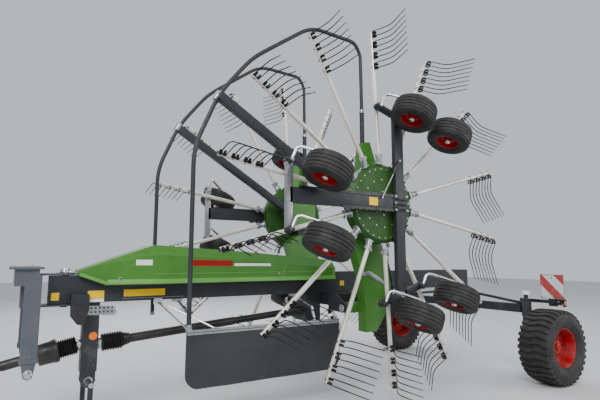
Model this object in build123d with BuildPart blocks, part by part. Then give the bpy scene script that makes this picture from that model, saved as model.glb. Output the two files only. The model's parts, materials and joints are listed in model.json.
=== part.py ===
"""Twin-rotor rotary rake, folded for the road and parked on its stand.

Millimetres. +X points to the rear, +Z up, the left side is -Y. The ground is Z = 0, and the origin is
on the ground under the middle of the machine. Left-hand pieces are made and then mirrored.
"""
from build123d import *
from math import cos, radians, sin, tan
import os

# Clearances
seat = 0.3
running = 0.3
guard_gap = 6.0

# Road wheels and axle
axle_x = 2700.0
track_width = 2610.0
tyre_radius = 425.0
tyre_width = 380.0
tyre_bead_radius = 222.0
lug_height = 18.0
lug_count = 20
lug_width = 40.0
lug_angle = 24.0
lug_length = 176.0
lug_centre = 88.0
lug_root = 9.0
tyre_sidewall = 95.0
tyre_shoulder = 52.0
tyre_bead_inset = 34.0
wheel_sides = 28
rim_depth = 290.0
rim_lip = 22.0
rim_dish = 133.0
rim_slope = 28.0
hub_radius = 72.0
hub_reach = 50.0
kingpin_inset = 295.0
kingpin_y = track_width / 2 - kingpin_inset
kingpin_radius = 24.0
kingpin_top_z = 1000.0
kingpin_low_z = 560.0
kingpin_sleeve_half = 90.0
kingpin_sleeve_radius = 58.0
kingpin_collar = 30.0
axle_beam_z = 830.0
axle_beam_size = 100.0
wheel_spindle_radius = 30.0

# Main beam
beam_width = 200.0
beam_low_z = 1060.0
beam_top_z = 1290.0
beam_front_x = -2470.0
beam_rear_x = axle_x + 60.0

# Headstock, which swivels on a vertical pin
swivel_x = -2350.0
swivel_pin_radius = 30.0
swivel_plate_radius = 76.0
headstock_x = -2600.0
headstock_half_width = 400.0
headstock_post_depth = 112.0
headstock_post_width = 84.0
headstock_top_z = 1370.0
headstock_plate = 16.0
hitch_pin_z = 590.0
hitch_pin_radius = 18.3
hitch_pin_length = 95.0

# Drive shaft
shaft_tube_radius = 42.0
shaft_cone_radius = 98.0
shaft_bellows_radius = 80.0
shaft_bellows_root = 62.0
shaft_bellows_length = 180.0
shaft_bellows_folds = 4
shaft_journal_radius = 30.0
shaft_journal_end = 30.0
shaft_front_x = -3125.0
shaft_yoke_radius = 38.0
yoke_length = 80.0
shaft_front_z = 520.0
shaft_bearing_z = 700.0
shaft_rear_x = 40.0
shaft_rear_z = 870.0
stub_shaft_radius = 17.45

# Parking stand
stand_x = -2130.0
stand_post_depth = 132.0
stand_post_width = 120.0
stand_post_low_z = 470.0
stand_pivot_z = 400.0
stand_tube_radius = 24.0
stand_half_width = 240.0
stand_leg_radius = 22.0
foot_length = 170.0
foot_width = 70.0
foot_plate = 10.0

# Hood over the front half of the beam: its side view (x, z), and its plan (x, y) with the narrowing nose
hood_half_width = 250.0
hood_wall = 8.0
hood_nose_half_width = 150.0
hood_chamfer = 90.0
hood_shoulder_z = 1400.0
hood_top_z = 1600.0
hood_lip_z = 1300.0
hood_frames = [-1800.0, -900.0, -100.0]

# Swath curtain, stowed beside the beam
curtain_y = 480.0
curtain_front_x = -1420.0
curtain_length = 1640.0
curtain_top_z = 790.0
curtain_low_z = 310.0
curtain_thickness = 8.0
curtain_corner = 130.0
curtain_rail_radius = 13.0
curtain_hanger_inset = 40.0
curtain_hanger_gap = 120.0

# Booms
rotor_x = 450.0
boom_pivot_y = 565.0
boom_pivot_z = 930.0
boom_pin_radius = 25.0
boom_hub_radius = 58.0
boom_hub_length = 420.0
boom_tube_y = 670.0
boom_tube_x = 110.0
boom_tube_width = 100.0
boom_wall = 14.0
boom_low_z = 690.0
boom_top_z = 1740.0
boom_ear_inner_y = 300.0
boom_ear_top_y = 440.0
boom_ear_reach = 50.0
boom_ear_plate = 20.0
boom_belly_x = 290.0
boom_crown_x = 227.0
boom_foot_x = 205.0
slide_low_z = 710.0

# Rotors
rotor_z = 2000.0
gearbox_size = 340.0
gearbox_inner_y = 560.0
gearbox_outer_y = 745.0
housing_inner_y = 640.0
housing_top_z = 2690.0
hub_disc_radius = 410.0
hub_sides = 28
hub_inner_slope = 110.0
hub_outer_slope = 40.0
hub_inner_y = 770.0
hub_outer_y = 950.0
rotor_axle_radius = 50.0
arm_y = 930.0
arm_count = 14
arm_phase = 92.9
arm_radius = 22.0
arm_sides = 8
socket_length = 70.0
socket_radius = 36.0
tip_radius = 1830.0

# Tines, which reach the ground plane when a rotor is lowered
ground_y = 1495.0
tine_pairs = 4
tine_spacing = 58.0
tine_end_gap = 5.0
tine_wire = 9.0
tine_coil_radius = 26.0
tine_upper_length = 200.0
tine_upper_lean = 15.0
tine_lower_lean = 18.0

# How far each arm is turned by the cam track: (arm angle, pitch) from +X towards +Z
cam_pitch = [(-180, 0), (-112, 0), (-87, 20), (-61, 75), (-34, 85), (15, 88), (41, 60), (68, 30), (92, 0), (180, 0)]

# Running gear under each rotor
gear_near_y = 975.0
gear_depth = 52.0
gear_beam_width = 145.0
gear_post_width = 116.0
gear_post_x = 170.0
tandem_height = 920.0
tandem_half_length = 270.0
tandem_splay = 17.0
tandem_width = 60.0
front_pair_x = -1150.0
front_pair_half = 310.0
castor_trail = 265.0
castor_angle = 25.0
castor_spindle_radius = 20.0
castor_boss_radius = 34.0
castor_bar_radius = 15.0
castor_bar_offset = 150.0
small_tyre_radius = 225.0
small_tyre_width = 214.0
small_tyre_sides = 12
small_rim_radius = 108.0
small_rim_half = 67.0
small_shoulder_in = 20.0
small_shoulder = 24.0
small_dish = 34.0
small_dish_lip = 14.0
small_cap_radius = 34.0
small_stub_radius = 14.0

# Guard hoops round the rotors
guard_y = 600.0
guard_radius = 1920.0
guard_tube = 21.0
guard_front_x = -1440.0
guard_low_z = 850.0
guard_shoulder_z = 2420.0
guard_crown_x = -190.0
guard_crown_z = 3890.0
guard_rear_x = 480.0
guard_rear_corner = 90.0
guard_rear_top_z = 3865.0
guard_rear_low_z = 3060.0
guard_carrier_size = 80.0

# Warning boards and lamps
board_x = 2800.0
board_size = 282.0
board_centre_y = 1290.0
board_centre_z = 1105.0
board_bar_z = 905.0
board_foot_y = 860.0

os.makedirs("parts", exist_ok=True)


def save(builder, name):
    """Label one finished piece and write it."""
    builder.part.label = name
    export_step(builder.part, f"parts/{name}.step")


def save_pair(builder, name):
    """Write a left-hand piece and its mirror image."""
    save(builder, f"{name}_left")
    right = mirror(builder.part, about=Plane.XZ)
    right.label = f"{name}_right"
    export_step(right, f"parts/{name}_right.step")


def along(start, end, x_dir=(0, 1, 0)):
    """The plane at start whose normal points at end, and the distance between them."""
    step = Vector(*end) - Vector(*start)
    return Plane(origin=start, x_dir=x_dir, z_dir=step), step.length


def box_bar(start, end, width, depth, x_dir=(0, 1, 0)):
    """A rectangular bar from start to end, width along x_dir. Used inside a BuildPart."""
    plane, length = along(start, end, x_dir)
    with BuildSketch(plane) as profile:
        Rectangle(width, depth)
    extrude(profile.sketch, amount=length)


def round_bar(start, end, radius, x_dir=(0, 1, 0), mode=Mode.ADD):
    """A round bar from start to end. Used inside a BuildPart."""
    plane, length = along(start, end, x_dir)
    with BuildSketch(plane) as profile:
        Circle(radius)
    extrude(profile.sketch, amount=length, mode=mode)


def faceted_bar(start, end, radius, sides=8, x_dir=(0, 1, 0), mode=Mode.ADD):
    """A thin bar with flat sides, its corners at the radius, or for a hole its flats. Used inside a BuildPart."""
    plane, length = along(start, end, x_dir)
    with BuildSketch(plane) as profile:
        RegularPolygon(radius, sides, major_radius=mode == Mode.ADD)
    extrude(profile.sketch, amount=length, mode=mode)


def block(low, high, mode=Mode.ADD):
    """A box between two corners. Used inside a BuildPart."""
    size = Vector(*high) - Vector(*low)
    with BuildSketch(Plane(origin=low)) as profile:
        Rectangle(size.X, size.Y, align=(Align.MIN, Align.MIN))
    extrude(profile.sketch, amount=size.Z, mode=mode)


def drum(plane, radius, low, high, sides, low_slope=None, high_slope=None):
    """A many-sided drum along the plane's normal, each slope (inward, across) cutting back an end's edge."""
    axis = Axis(plane.origin, plane.z_dir)
    with BuildPart(mode=Mode.PRIVATE) as made:
        with BuildSketch(plane.offset(low)):
            RegularPolygon(radius, sides, rotation=180 / sides)
        extrude(amount=high - low)
        for end, slope in ((0, low_slope), (-1, high_slope)):
            if slope:
                face = made.faces().filter_by(plane).sort_by(axis)[end]
                chamfer(face.edges(), length=slope[0], length2=slope[1], reference=face)
    return made.part


def pitch_at(angle):
    """The cam's turn of an arm at this angle, from the table."""
    turn = (angle + 180) % 360 - 180
    for (low, first), (high, second) in zip(cam_pitch, cam_pitch[1:]):
        if low <= turn <= high:
            return first + (second - first) * (turn - low) / (high - low)
    return 0


# Main beam with the swivel eye, the stand post and the axle cradle
with BuildPart() as main_beam:
    block((beam_front_x, -beam_width / 2, beam_low_z), (beam_rear_x, beam_width / 2, beam_top_z))
    faceted_bar(
        (swivel_x, 0, beam_low_z - 1), (swivel_x, 0, beam_top_z + 1), swivel_pin_radius + running, 12,
        mode=Mode.SUBTRACT,
    )
    block(
        (stand_x - stand_post_depth / 2, -stand_post_width / 2, stand_post_low_z),
        (stand_x + stand_post_depth / 2, stand_post_width / 2, beam_low_z),
    )
    faceted_bar(
        (stand_x - stand_post_depth, 0, shaft_bearing_z), (stand_x + stand_post_depth, 0, shaft_bearing_z),
        shaft_journal_radius + seat, 12, mode=Mode.SUBTRACT,
    )
    for cheek in (-1, 1):
        with BuildSketch(Plane.XZ.offset(-cheek * stand_post_width / 2 + cheek * 6)):
            with Locations((stand_x, (stand_post_low_z + stand_pivot_z) / 2)):
                Rectangle(stand_post_depth - 20, stand_post_low_z - stand_pivot_z)
            with Locations((stand_x, stand_pivot_z)):
                RegularPolygon(stand_post_depth / 2 - 10, 8, major_radius=False)
        extrude(amount=6, both=True)
    faceted_bar(
        (stand_x, -stand_post_width, stand_pivot_z), (stand_x, stand_post_width, stand_pivot_z),
        stand_tube_radius + running, 12, x_dir=(1, 0, 0), mode=Mode.SUBTRACT,
    )
save(main_beam, "main_beam")

# Rear axle: cross beam, drop plates, braces and the kingpin sleeves
with BuildPart() as rear_axle:
    half = axle_beam_size / 2
    block(
        (axle_x - half, -kingpin_y + 55, axle_beam_z - half), (axle_x + half, kingpin_y - 55, axle_beam_z + half)
    )
    block(
        (axle_x - half, -beam_width / 2, axle_beam_z), (axle_x + half, beam_width / 2, beam_low_z - seat)
    )
    for side in (-1, 1):
        faceted_bar(
            (axle_x, side * kingpin_y, axle_beam_z - kingpin_sleeve_half),
            (axle_x, side * kingpin_y, axle_beam_z + kingpin_sleeve_half), kingpin_sleeve_radius, 12,
        )
        faceted_bar(
            (axle_x, side * (beam_width / 2 - 20), beam_low_z - 60),
            (axle_x, side * (kingpin_y - 20), axle_beam_z + 60), 18, x_dir=(1, 0, 0),
        )
        faceted_bar(
            (axle_x, side * kingpin_y, kingpin_low_z), (axle_x, side * kingpin_y, kingpin_top_z),
            kingpin_radius + running, 12, mode=Mode.SUBTRACT,
        )
save(rear_axle, "rear_axle")

# Steered knuckles with kingpin, fork plates and the wheel spindle
wheel_y = track_width / 2
with BuildPart() as knuckle:
    round_bar((axle_x, -kingpin_y, kingpin_low_z), (axle_x, -kingpin_y, kingpin_top_z), kingpin_radius)
    sleeve_low_z = axle_beam_z - kingpin_sleeve_half
    sleeve_top_z = axle_beam_z + kingpin_sleeve_half
    faceted_bar(
        (axle_x, -kingpin_y, sleeve_low_z - 2 - kingpin_collar * 2.5), (axle_x, -kingpin_y, sleeve_low_z - 2), 50, 12
    )
    faceted_bar(
        (axle_x, -kingpin_y, sleeve_top_z + 2), (axle_x, -kingpin_y, sleeve_top_z + 2 + kingpin_collar), 44, 12
    )
    block(
        (axle_x - 45, -kingpin_y - 40, tyre_radius - 60), (axle_x + 45, -kingpin_y + 30, sleeve_low_z - 10)
    )
    round_bar(
        (axle_x, -kingpin_y, tyre_radius), (axle_x, -wheel_y - hub_reach, tyre_radius), wheel_spindle_radius,
        x_dir=(1, 0, 0),
    )
save_pair(knuckle, "knuckle")

# Road tyre: carcass with sloping shoulders and sidewalls, then slanted cross lugs out to the tips
wheel_out = Plane(origin=(axle_x, -wheel_y, tyre_radius), x_dir=(1, 0, 0), z_dir=(0, -1, 0))
wheel_in = Plane(origin=wheel_out.origin, x_dir=(1, 0, 0), z_dir=(0, 1, 0))
carcass_radius = tyre_radius - lug_height
half_tread = tyre_width / 2
shoulder = (tyre_sidewall, tyre_shoulder)
lug_reach = lug_length / 2 * sin(radians(lug_angle)) + lug_width / 2 * cos(radians(lug_angle))
lug_top = (tyre_radius ** 2 - lug_reach ** 2) ** 0.5
with BuildPart() as road_tyre:
    add(drum(wheel_out, carcass_radius, -half_tread, half_tread, wheel_sides, shoulder, shoulder))
    for row in (-1, 1):
        for step in range(lug_count):
            turn = (step + row * 0.25) * 360 / lug_count
            outward = Vector(cos(radians(turn)), 0, sin(radians(turn)))
            around = Vector(-sin(radians(turn)), 0, cos(radians(turn)))
            across = Vector(0, cos(radians(lug_angle)), 0) + around * (row * sin(radians(lug_angle)))
            centre = wheel_out.origin + outward * (carcass_radius - lug_root) + Vector(0, row * lug_centre, 0)
            with BuildSketch(Plane(origin=centre, x_dir=across, z_dir=outward)):
                Rectangle(lug_length, lug_width)
            extrude(amount=lug_top - carcass_radius + lug_root)
    add(drum(wheel_out, tyre_bead_radius, -half_tread, half_tread, wheel_sides), mode=Mode.SUBTRACT)
    for face_plane in (wheel_out, wheel_in):
        sidewall = drum(
            face_plane, tyre_bead_radius + tyre_sidewall, half_tread - tyre_bead_inset, tyre_width, wheel_sides,
            (tyre_sidewall, tyre_bead_inset),
        )
        add(sidewall, mode=Mode.SUBTRACT)
save_pair(road_tyre, "road_tyre")

# Road rim: deep dish on the outside, shallow behind, with the hub in both
dish_radius = tyre_bead_radius - rim_lip
with BuildPart() as road_rim:
    add(drum(wheel_out, tyre_bead_radius - seat, -rim_depth / 2, rim_depth / 2, wheel_sides))
    for face_plane, floor in ((wheel_out, rim_depth / 2 - rim_dish), (wheel_in, rim_lip)):
        dish = drum(face_plane, dish_radius, floor, rim_depth, wheel_sides, (rim_slope, rim_slope * 2))
        add(dish, mode=Mode.SUBTRACT)
        add(drum(face_plane, hub_radius, 0, floor + hub_reach, 12))
    faceted_bar(
        wheel_out.origin - Vector(0, rim_depth, 0), wheel_out.origin + Vector(0, rim_depth, 0),
        wheel_spindle_radius + running, 12, x_dir=(1, 0, 0), mode=Mode.SUBTRACT,
    )
save_pair(road_rim, "road_rim")

# Headstock: two hanging posts, cross beam, and plates above and below the swivel eye
with BuildPart() as headstock:
    post_front = headstock_x - headstock_post_depth / 2
    post_rear = headstock_x + headstock_post_depth / 2
    outer = headstock_half_width + headstock_post_width / 2
    plate_low = beam_low_z - guard_gap - headstock_plate
    collar_lip = 7
    block(
        (post_front - 70, -outer, beam_top_z - 60), (post_rear - 20, outer, headstock_top_z - headstock_plate)
    )
    block(
        (post_front - 110, -outer - 20, headstock_top_z - headstock_plate), (post_rear + 10, outer + 20, headstock_top_z)
    )
    with BuildSketch(Plane.XY.offset(beam_top_z + guard_gap)):
        with Locations(((swivel_x + post_front) / 2, 0)):
            Rectangle(swivel_x - post_front, 2 * swivel_plate_radius)
        with Locations((swivel_x, 0)):
            RegularPolygon(swivel_plate_radius, 16)
    extrude(amount=headstock_plate)
    with BuildSketch(Plane.XY.offset(plate_low)):
        with Locations(((swivel_x + post_front) / 2, 0)):
            Rectangle(swivel_x - post_front, 200)
        with Locations((swivel_x, 0)):
            RegularPolygon(100, 16)
    extrude(amount=headstock_plate)
    block((post_front - 20, -100, plate_low), (post_front + 20, 100, beam_top_z))
    for side in (-1, 1):
        block(
            (post_front, side * headstock_half_width - headstock_post_width / 2, hitch_pin_z + 70),
            (post_rear, side * headstock_half_width + headstock_post_width / 2, beam_top_z + 20),
        )
        block(
            (post_front - collar_lip, side * headstock_half_width - headstock_post_width / 2 - collar_lip, hitch_pin_z + 70),
            (post_rear + collar_lip, side * headstock_half_width + headstock_post_width / 2 + collar_lip, hitch_pin_z + 102),
        )
        for ear in (-1, 1):
            ear_y = side * headstock_half_width + ear * (headstock_post_width / 2 - 8)
            with BuildSketch(Plane.XZ.offset(-ear_y)):
                with BuildLine():
                    Polyline(
                        (post_front + 4, hitch_pin_z + 80), (post_rear - 4, hitch_pin_z + 80),
                        (headstock_x + 30, hitch_pin_z - 34), (headstock_x, hitch_pin_z - 50),
                        (headstock_x - 30, hitch_pin_z - 34), close=True,
                    )
                make_face()
            extrude(amount=8, both=True)
        round_bar(
            (headstock_x, side * (headstock_half_width - 50), hitch_pin_z),
            (headstock_x, side * (headstock_half_width + headstock_post_width / 2 + hitch_pin_length), hitch_pin_z),
            hitch_pin_radius, x_dir=(1, 0, 0),
        )
    round_bar((swivel_x, 0, plate_low - 14), (swivel_x, 0, beam_top_z + 60), swivel_pin_radius)
save(headstock, "headstock")

# Parking stand: cross tube, two legs and their feet
with BuildPart() as stand:
    round_bar(
        (stand_x, -stand_half_width, stand_pivot_z), (stand_x, stand_half_width, stand_pivot_z),
        stand_tube_radius, x_dir=(1, 0, 0),
    )
    for side in (-1, 1):
        faceted_bar(
            (stand_x, side * (stand_half_width - 20), foot_plate / 2),
            (stand_x, side * (stand_half_width - 20), stand_pivot_z), stand_leg_radius,
        )
        block(
            (stand_x - foot_length / 2, side * (stand_half_width - 20) - foot_width / 2, 0),
            (stand_x + foot_length / 2, side * (stand_half_width - 20) + foot_width / 2, foot_plate),
        )
save(stand, "stand")

# Drive shaft in two halves, with a cone and bellows over its joints, on a journal in the stand post
with BuildPart() as drive_shaft:
    journal_front = Vector(stand_x - stand_post_depth / 2 - shaft_journal_end, 0, shaft_bearing_z)
    journal_rear = Vector(stand_x + stand_post_depth / 2 + shaft_journal_end, 0, shaft_bearing_z)
    yoke_front = Vector(shaft_front_x, 0, shaft_front_z)
    front_end = yoke_front + Vector(yoke_length, 0, 0)
    rear_end = Vector(shaft_rear_x - shaft_journal_end, 0, shaft_rear_z)
    front_dir = (journal_front - front_end).normalized()
    rear_dir = (rear_end - journal_rear).normalized()
    round_bar(journal_front, journal_rear, shaft_journal_radius)
    faceted_bar(front_end, journal_front, shaft_tube_radius, 12)
    round_bar(yoke_front, front_end + Vector(shaft_journal_radius, 0, 0), shaft_yoke_radius)
    faceted_bar(
        journal_front - front_dir * shaft_bellows_length * 1.7, journal_front - front_dir * shaft_bellows_length * 0.8,
        shaft_cone_radius, 12,
    )
    faceted_bar(journal_rear, rear_end, shaft_tube_radius, 12)
    faceted_bar(rear_end, (shaft_rear_x, 0, shaft_rear_z), shaft_journal_radius, 12)
    fold = shaft_bellows_length / shaft_bellows_folds
    for start, heading in ((journal_front - front_dir * fold / 2, -front_dir), (journal_rear + rear_dir * fold / 2, rear_dir)):
        faceted_bar(start, start + heading * (shaft_bellows_length - fold), shaft_bellows_root, 12)
        for step in range(shaft_bellows_folds):
            ring = start + heading * fold * step
            faceted_bar(ring, ring + heading * fold / 2, shaft_bellows_radius, 12)
    round_bar(yoke_front - Vector(1, 0, 0), front_end, stub_shaft_radius, mode=Mode.SUBTRACT)
save(drive_shaft, "drive_shaft")

# Transfer gearbox at the rear end of the drive shaft
with BuildPart() as transfer_gearbox:
    block(
        (shaft_rear_x + seat, -110, shaft_rear_z - 110), (rotor_x - 215, 110, beam_low_z - seat)
    )
save(transfer_gearbox, "transfer_gearbox")

# Cross member that carries both boom pivots
with BuildPart() as boom_mount:
    pivot_half = boom_hub_length / 2
    block(
        (rotor_x - pivot_half, -420, boom_pivot_z + 5), (rotor_x + pivot_half, 420, beam_low_z - seat)
    )
    for side in (-1, 1):
        for end in (-1, 1):
            ear_x = rotor_x + end * (pivot_half + guard_gap + boom_ear_plate / 2)
            with BuildSketch(Plane.YZ.offset(ear_x)):
                with BuildLine():
                    Polyline(
                        (side * boom_ear_inner_y, beam_low_z - seat),
                        (side * boom_ear_inner_y, boom_pivot_z - 40),
                        (side * boom_pivot_y, boom_pivot_z - boom_ear_reach),
                        (side * (boom_pivot_y + boom_ear_reach), boom_pivot_z - 20),
                        (side * (boom_pivot_y + boom_ear_reach), boom_pivot_z + 30),
                        (side * boom_ear_top_y, beam_low_z - seat),
                        close=True,
                    )
                make_face()
            extrude(amount=boom_ear_plate / 2, both=True)
            block(
                (min(rotor_x + end * pivot_half, ear_x), min(side * 300, side * 420), boom_pivot_z + 5),
                (max(rotor_x + end * pivot_half, ear_x), max(side * 300, side * 420), beam_low_z - seat),
            )
        round_bar(
            (rotor_x - pivot_half - 40, side * boom_pivot_y, boom_pivot_z),
            (rotor_x + pivot_half + 40, side * boom_pivot_y, boom_pivot_z), boom_pin_radius,
        )
save(boom_mount, "boom_mount")

# Hood: a folded cover with a pointed nose, open underneath
hood_profile = [
    (-2260, 1335), (-2260, 1292), (-2040, 1205), (345, 1212), (352, 1424),
    (-790, 1512), (-1640, 1562),
]
hood_plan = [
    (-2260, -hood_nose_half_width), (-1640, -hood_half_width), (360, -hood_half_width),
    (360, hood_half_width), (-1640, hood_half_width), (-2260, hood_nose_half_width),
]


def hood_form(inset, drop):
    """The hood's form as a solid, smaller all round by the inset, with its lower edge dropped."""
    roof = [(x, z) if z > hood_lip_z else (x, z - drop) for x, z in hood_profile]
    with BuildPart(mode=Mode.PRIVATE) as form:
        with BuildSketch(Plane.XZ):
            with BuildLine():
                Polyline(*roof, close=True)
            make_face()
            offset(amount=-inset)
        extrude(amount=hood_half_width - inset, both=True)
        roof_edges = form.edges().filter_by(
            lambda edge: edge.center().Z > hood_shoulder_z and abs(edge.center().Y) > hood_nose_half_width
            and abs((edge % 0).Y) < 0.1
        )
        chamfer(roof_edges, length=hood_chamfer - inset * 0.6)
        with BuildSketch(Plane.XY.offset(hood_top_z)):
            with BuildLine():
                Polyline(*hood_plan, close=True)
            make_face()
            offset(amount=-inset)
        extrude(amount=beam_low_z - hood_top_z, mode=Mode.INTERSECT)
    return form.part


with BuildPart() as hood:
    add(hood_form(0, 0))
    add(hood_form(hood_wall, 100), mode=Mode.SUBTRACT)
    for frame_x in hood_frames:
        with BuildPart(mode=Mode.PRIVATE) as hood_frame:
            add(hood_form(hood_wall / 2, 0))
            block(
                (frame_x, -hood_half_width, beam_top_z + seat), (frame_x + hood_wall, hood_half_width, hood_top_z),
                mode=Mode.INTERSECT,
            )
        add(hood_frame.part)
    block(
        (beam_front_x, -beam_width / 2 - seat, beam_low_z), (beam_rear_x, beam_width / 2 + seat, beam_top_z + seat),
        mode=Mode.SUBTRACT,
    )
save(hood, "hood")

# Swath curtain with its rail and hangers
with BuildPart() as curtain:
    with BuildSketch(Plane.XZ.offset(curtain_y)):
        with BuildLine():
            FilletPolyline(
                (curtain_front_x, curtain_top_z), (curtain_front_x, curtain_low_z),
                (curtain_front_x + curtain_length, curtain_low_z), (curtain_front_x + curtain_length, curtain_top_z),
                radius=curtain_corner,
            )
            Line((curtain_front_x, curtain_top_z), (curtain_front_x + curtain_length, curtain_top_z))
        make_face()
    extrude(amount=curtain_thickness / 2, both=True)
save(curtain, "curtain")

with BuildPart() as curtain_rail:
    rail_z = curtain_top_z + curtain_rail_radius + seat
    round_bar(
        (curtain_front_x, -curtain_y, rail_z), (curtain_front_x + curtain_length, -curtain_y, rail_z),
        curtain_rail_radius,
    )
    for hanger_x in (curtain_front_x + curtain_hanger_inset, shaft_rear_x - curtain_hanger_gap):
        box_bar(
            (hanger_x, -curtain_y, rail_z), (hanger_x, -curtain_y + 60, beam_low_z - 110), 24, 12, x_dir=(1, 0, 0)
        )
        box_bar(
            (hanger_x, -curtain_y + 60, beam_low_z - 110), (hanger_x, -beam_width / 2 + 30, beam_low_z - 16),
            24, 12, x_dir=(1, 0, 0),
        )
        block(
            (hanger_x - 40, -beam_width / 2, beam_low_z - 26), (hanger_x + 40, -20, beam_low_z - seat)
        )
save(curtain_rail, "curtain_rail")

# Warning boards with brackets, and lamps below them
with BuildPart() as warning_boards:
    with BuildSketch(Plane.YZ.offset(board_x)):
        with Locations((-board_centre_y, board_centre_z)):
            Rectangle(board_size, board_size)
    extrude(amount=3)
    block(
        (board_x + 3, -board_centre_y - 20, board_bar_z),
        (board_x + 12, -board_centre_y + 20, board_centre_z + 60),
    )
    block(
        (board_x + 3, -board_centre_y, board_bar_z), (board_x + 12, -board_foot_y, board_bar_z + 40)
    )
    block(
        (axle_x + axle_beam_size / 2 + seat, -board_foot_y - 60, board_bar_z), (board_x + 12, -board_foot_y, board_bar_z + 10)
    )
    block(
        (axle_x + axle_beam_size / 2 + seat, -board_foot_y - 60, axle_beam_z - 40),
        (axle_x + axle_beam_size / 2 + 12, -board_foot_y, board_bar_z + 10),
    )
    mirror(about=Plane.XZ)
save(warning_boards, "warning_boards")

with BuildPart() as rear_lamps:
    block(
        (board_x + 12 + seat, -board_centre_y - 130, board_centre_z - board_size / 2 - 90),
        (board_x + 60, -board_centre_y + 60, board_centre_z - board_size / 2 - 5),
    )
    mirror(about=Plane.XZ)
save(rear_lamps, "rear_lamps")

# Boom base: box that swells above its pivot hub, hollow for the sliding tube
with BuildPart() as boom_base:
    half_y = boom_tube_width / 2 + boom_wall
    half_x = boom_tube_x / 2 + boom_wall
    boom_rise = boom_top_z - boom_pivot_z
    with BuildSketch(Plane.XZ.offset(boom_tube_y)):
        with BuildLine():
            Polyline(
                (rotor_x - half_x, boom_low_z), (rotor_x + half_x, boom_low_z),
                (rotor_x + boom_foot_x, boom_pivot_z - boom_hub_radius),
                (rotor_x + boom_foot_x, boom_pivot_z + boom_rise * 0.1),
                (rotor_x + boom_belly_x, boom_pivot_z + boom_rise * 0.17),
                (rotor_x + boom_belly_x - 40, boom_pivot_z + boom_rise * 0.5),
                (rotor_x + boom_foot_x, boom_pivot_z + boom_rise * 0.8),
                (rotor_x + half_x, boom_top_z), (rotor_x - half_x, boom_top_z),
                (rotor_x - boom_crown_x, boom_pivot_z + boom_rise * 0.86),
                (rotor_x - boom_crown_x * 0.45, boom_pivot_z + boom_rise * 0.4),
                (rotor_x - half_x, boom_pivot_z),
                close=True,
            )
        make_face()
    extrude(amount=half_y, both=True)
    faceted_bar(
        (rotor_x - boom_hub_length / 2, -boom_pivot_y, boom_pivot_z),
        (rotor_x + boom_hub_length / 2, -boom_pivot_y, boom_pivot_z), boom_hub_radius, 16,
    )
    faceted_bar(
        (rotor_x - boom_hub_length / 2 - 1, -boom_pivot_y, boom_pivot_z),
        (rotor_x + boom_hub_length / 2 + 1, -boom_pivot_y, boom_pivot_z), boom_pin_radius + running, 12,
        mode=Mode.SUBTRACT,
    )
    block(
        (rotor_x - boom_tube_x / 2 - running, -boom_tube_y - boom_tube_width / 2 - running, boom_low_z - 1),
        (rotor_x + boom_tube_x / 2 + running, -boom_tube_y + boom_tube_width / 2 + running, boom_top_z + 1),
        mode=Mode.SUBTRACT,
    )
save_pair(boom_base, "boom_base")

# Sliding tube of the boom, up to the rotor gearbox
gearbox_low_z = rotor_z - gearbox_size / 2
with BuildPart() as boom_slide:
    block(
        (rotor_x - boom_tube_x / 2, -boom_tube_y - boom_tube_width / 2, slide_low_z),
        (rotor_x + boom_tube_x / 2, -boom_tube_y + boom_tube_width / 2, gearbox_low_z),
    )
save_pair(boom_slide, "boom_slide")

# Rotor gearbox with its tapered housing on top and the fixed axle that passes through the hub
gearbox_top_z = rotor_z + gearbox_size / 2
with BuildPart() as gearbox:
    with BuildSketch(Plane.XZ.offset(gearbox_inner_y)):
        with Locations((rotor_x, rotor_z)):
            RectangleRounded(gearbox_size, gearbox_size, 50)
    extrude(amount=gearbox_outer_y - gearbox_inner_y)
    with BuildSketch(Plane.XZ.offset(housing_inner_y)):
        with BuildLine():
            Polyline(
                (rotor_x - gearbox_size * 0.45, gearbox_top_z - 60), (rotor_x + gearbox_size * 0.38, gearbox_top_z - 60),
                (rotor_x + gearbox_size * 0.32, gearbox_top_z + 260),
                (rotor_x + gearbox_size * 0.04, housing_top_z),
                (rotor_x - gearbox_size * 0.25, housing_top_z - 20),
                close=True,
            )
        make_face()
    extrude(amount=gearbox_outer_y - housing_inner_y)
    round_bar(
        (rotor_x, -gearbox_inner_y - 10, rotor_z), (rotor_x, -gear_near_y, rotor_z), rotor_axle_radius,
        x_dir=(1, 0, 0),
    )
save_pair(gearbox, "gearbox")

# Rotor hub: flat drum with one side for each arm socket and one between
hub_plane = Plane(origin=(rotor_x, 0, rotor_z), x_dir=(1, 0, 0), z_dir=(0, -1, 0))
hub_corner = hub_disc_radius / cos(radians(180 / hub_sides))
with BuildPart() as rotor_hub:
    add(
        drum(
            hub_plane.rotated((0, -arm_phase, 0)), hub_corner, hub_inner_y, hub_outer_y, hub_sides,
            (hub_inner_slope, hub_inner_slope / 2), (hub_outer_slope, hub_outer_slope * 0.75),
        )
    )
    faceted_bar(
        (rotor_x, -hub_inner_y + 1, rotor_z), (rotor_x, -hub_outer_y - 1, rotor_z), rotor_axle_radius + running, 16,
        x_dir=(1, 0, 0), mode=Mode.SUBTRACT,
    )
save_pair(rotor_hub, "rotor_hub")

# Each arm's directions: out along it, the way its tines lead, and the way they point down to the crop
arm_frames = []
for step in range(arm_count):
    arm_angle = arm_phase + step * 360 / arm_count
    angle = radians(arm_angle)
    turn = radians(pitch_at(arm_angle))
    outward = Vector(cos(angle), 0, sin(angle))
    leading = Vector(-sin(angle), 0, cos(angle))
    crop = Vector(0, -1, 0)
    arm_frames.append((outward, leading * cos(turn) + crop * sin(turn), crop * cos(turn) - leading * sin(turn)))

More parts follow.
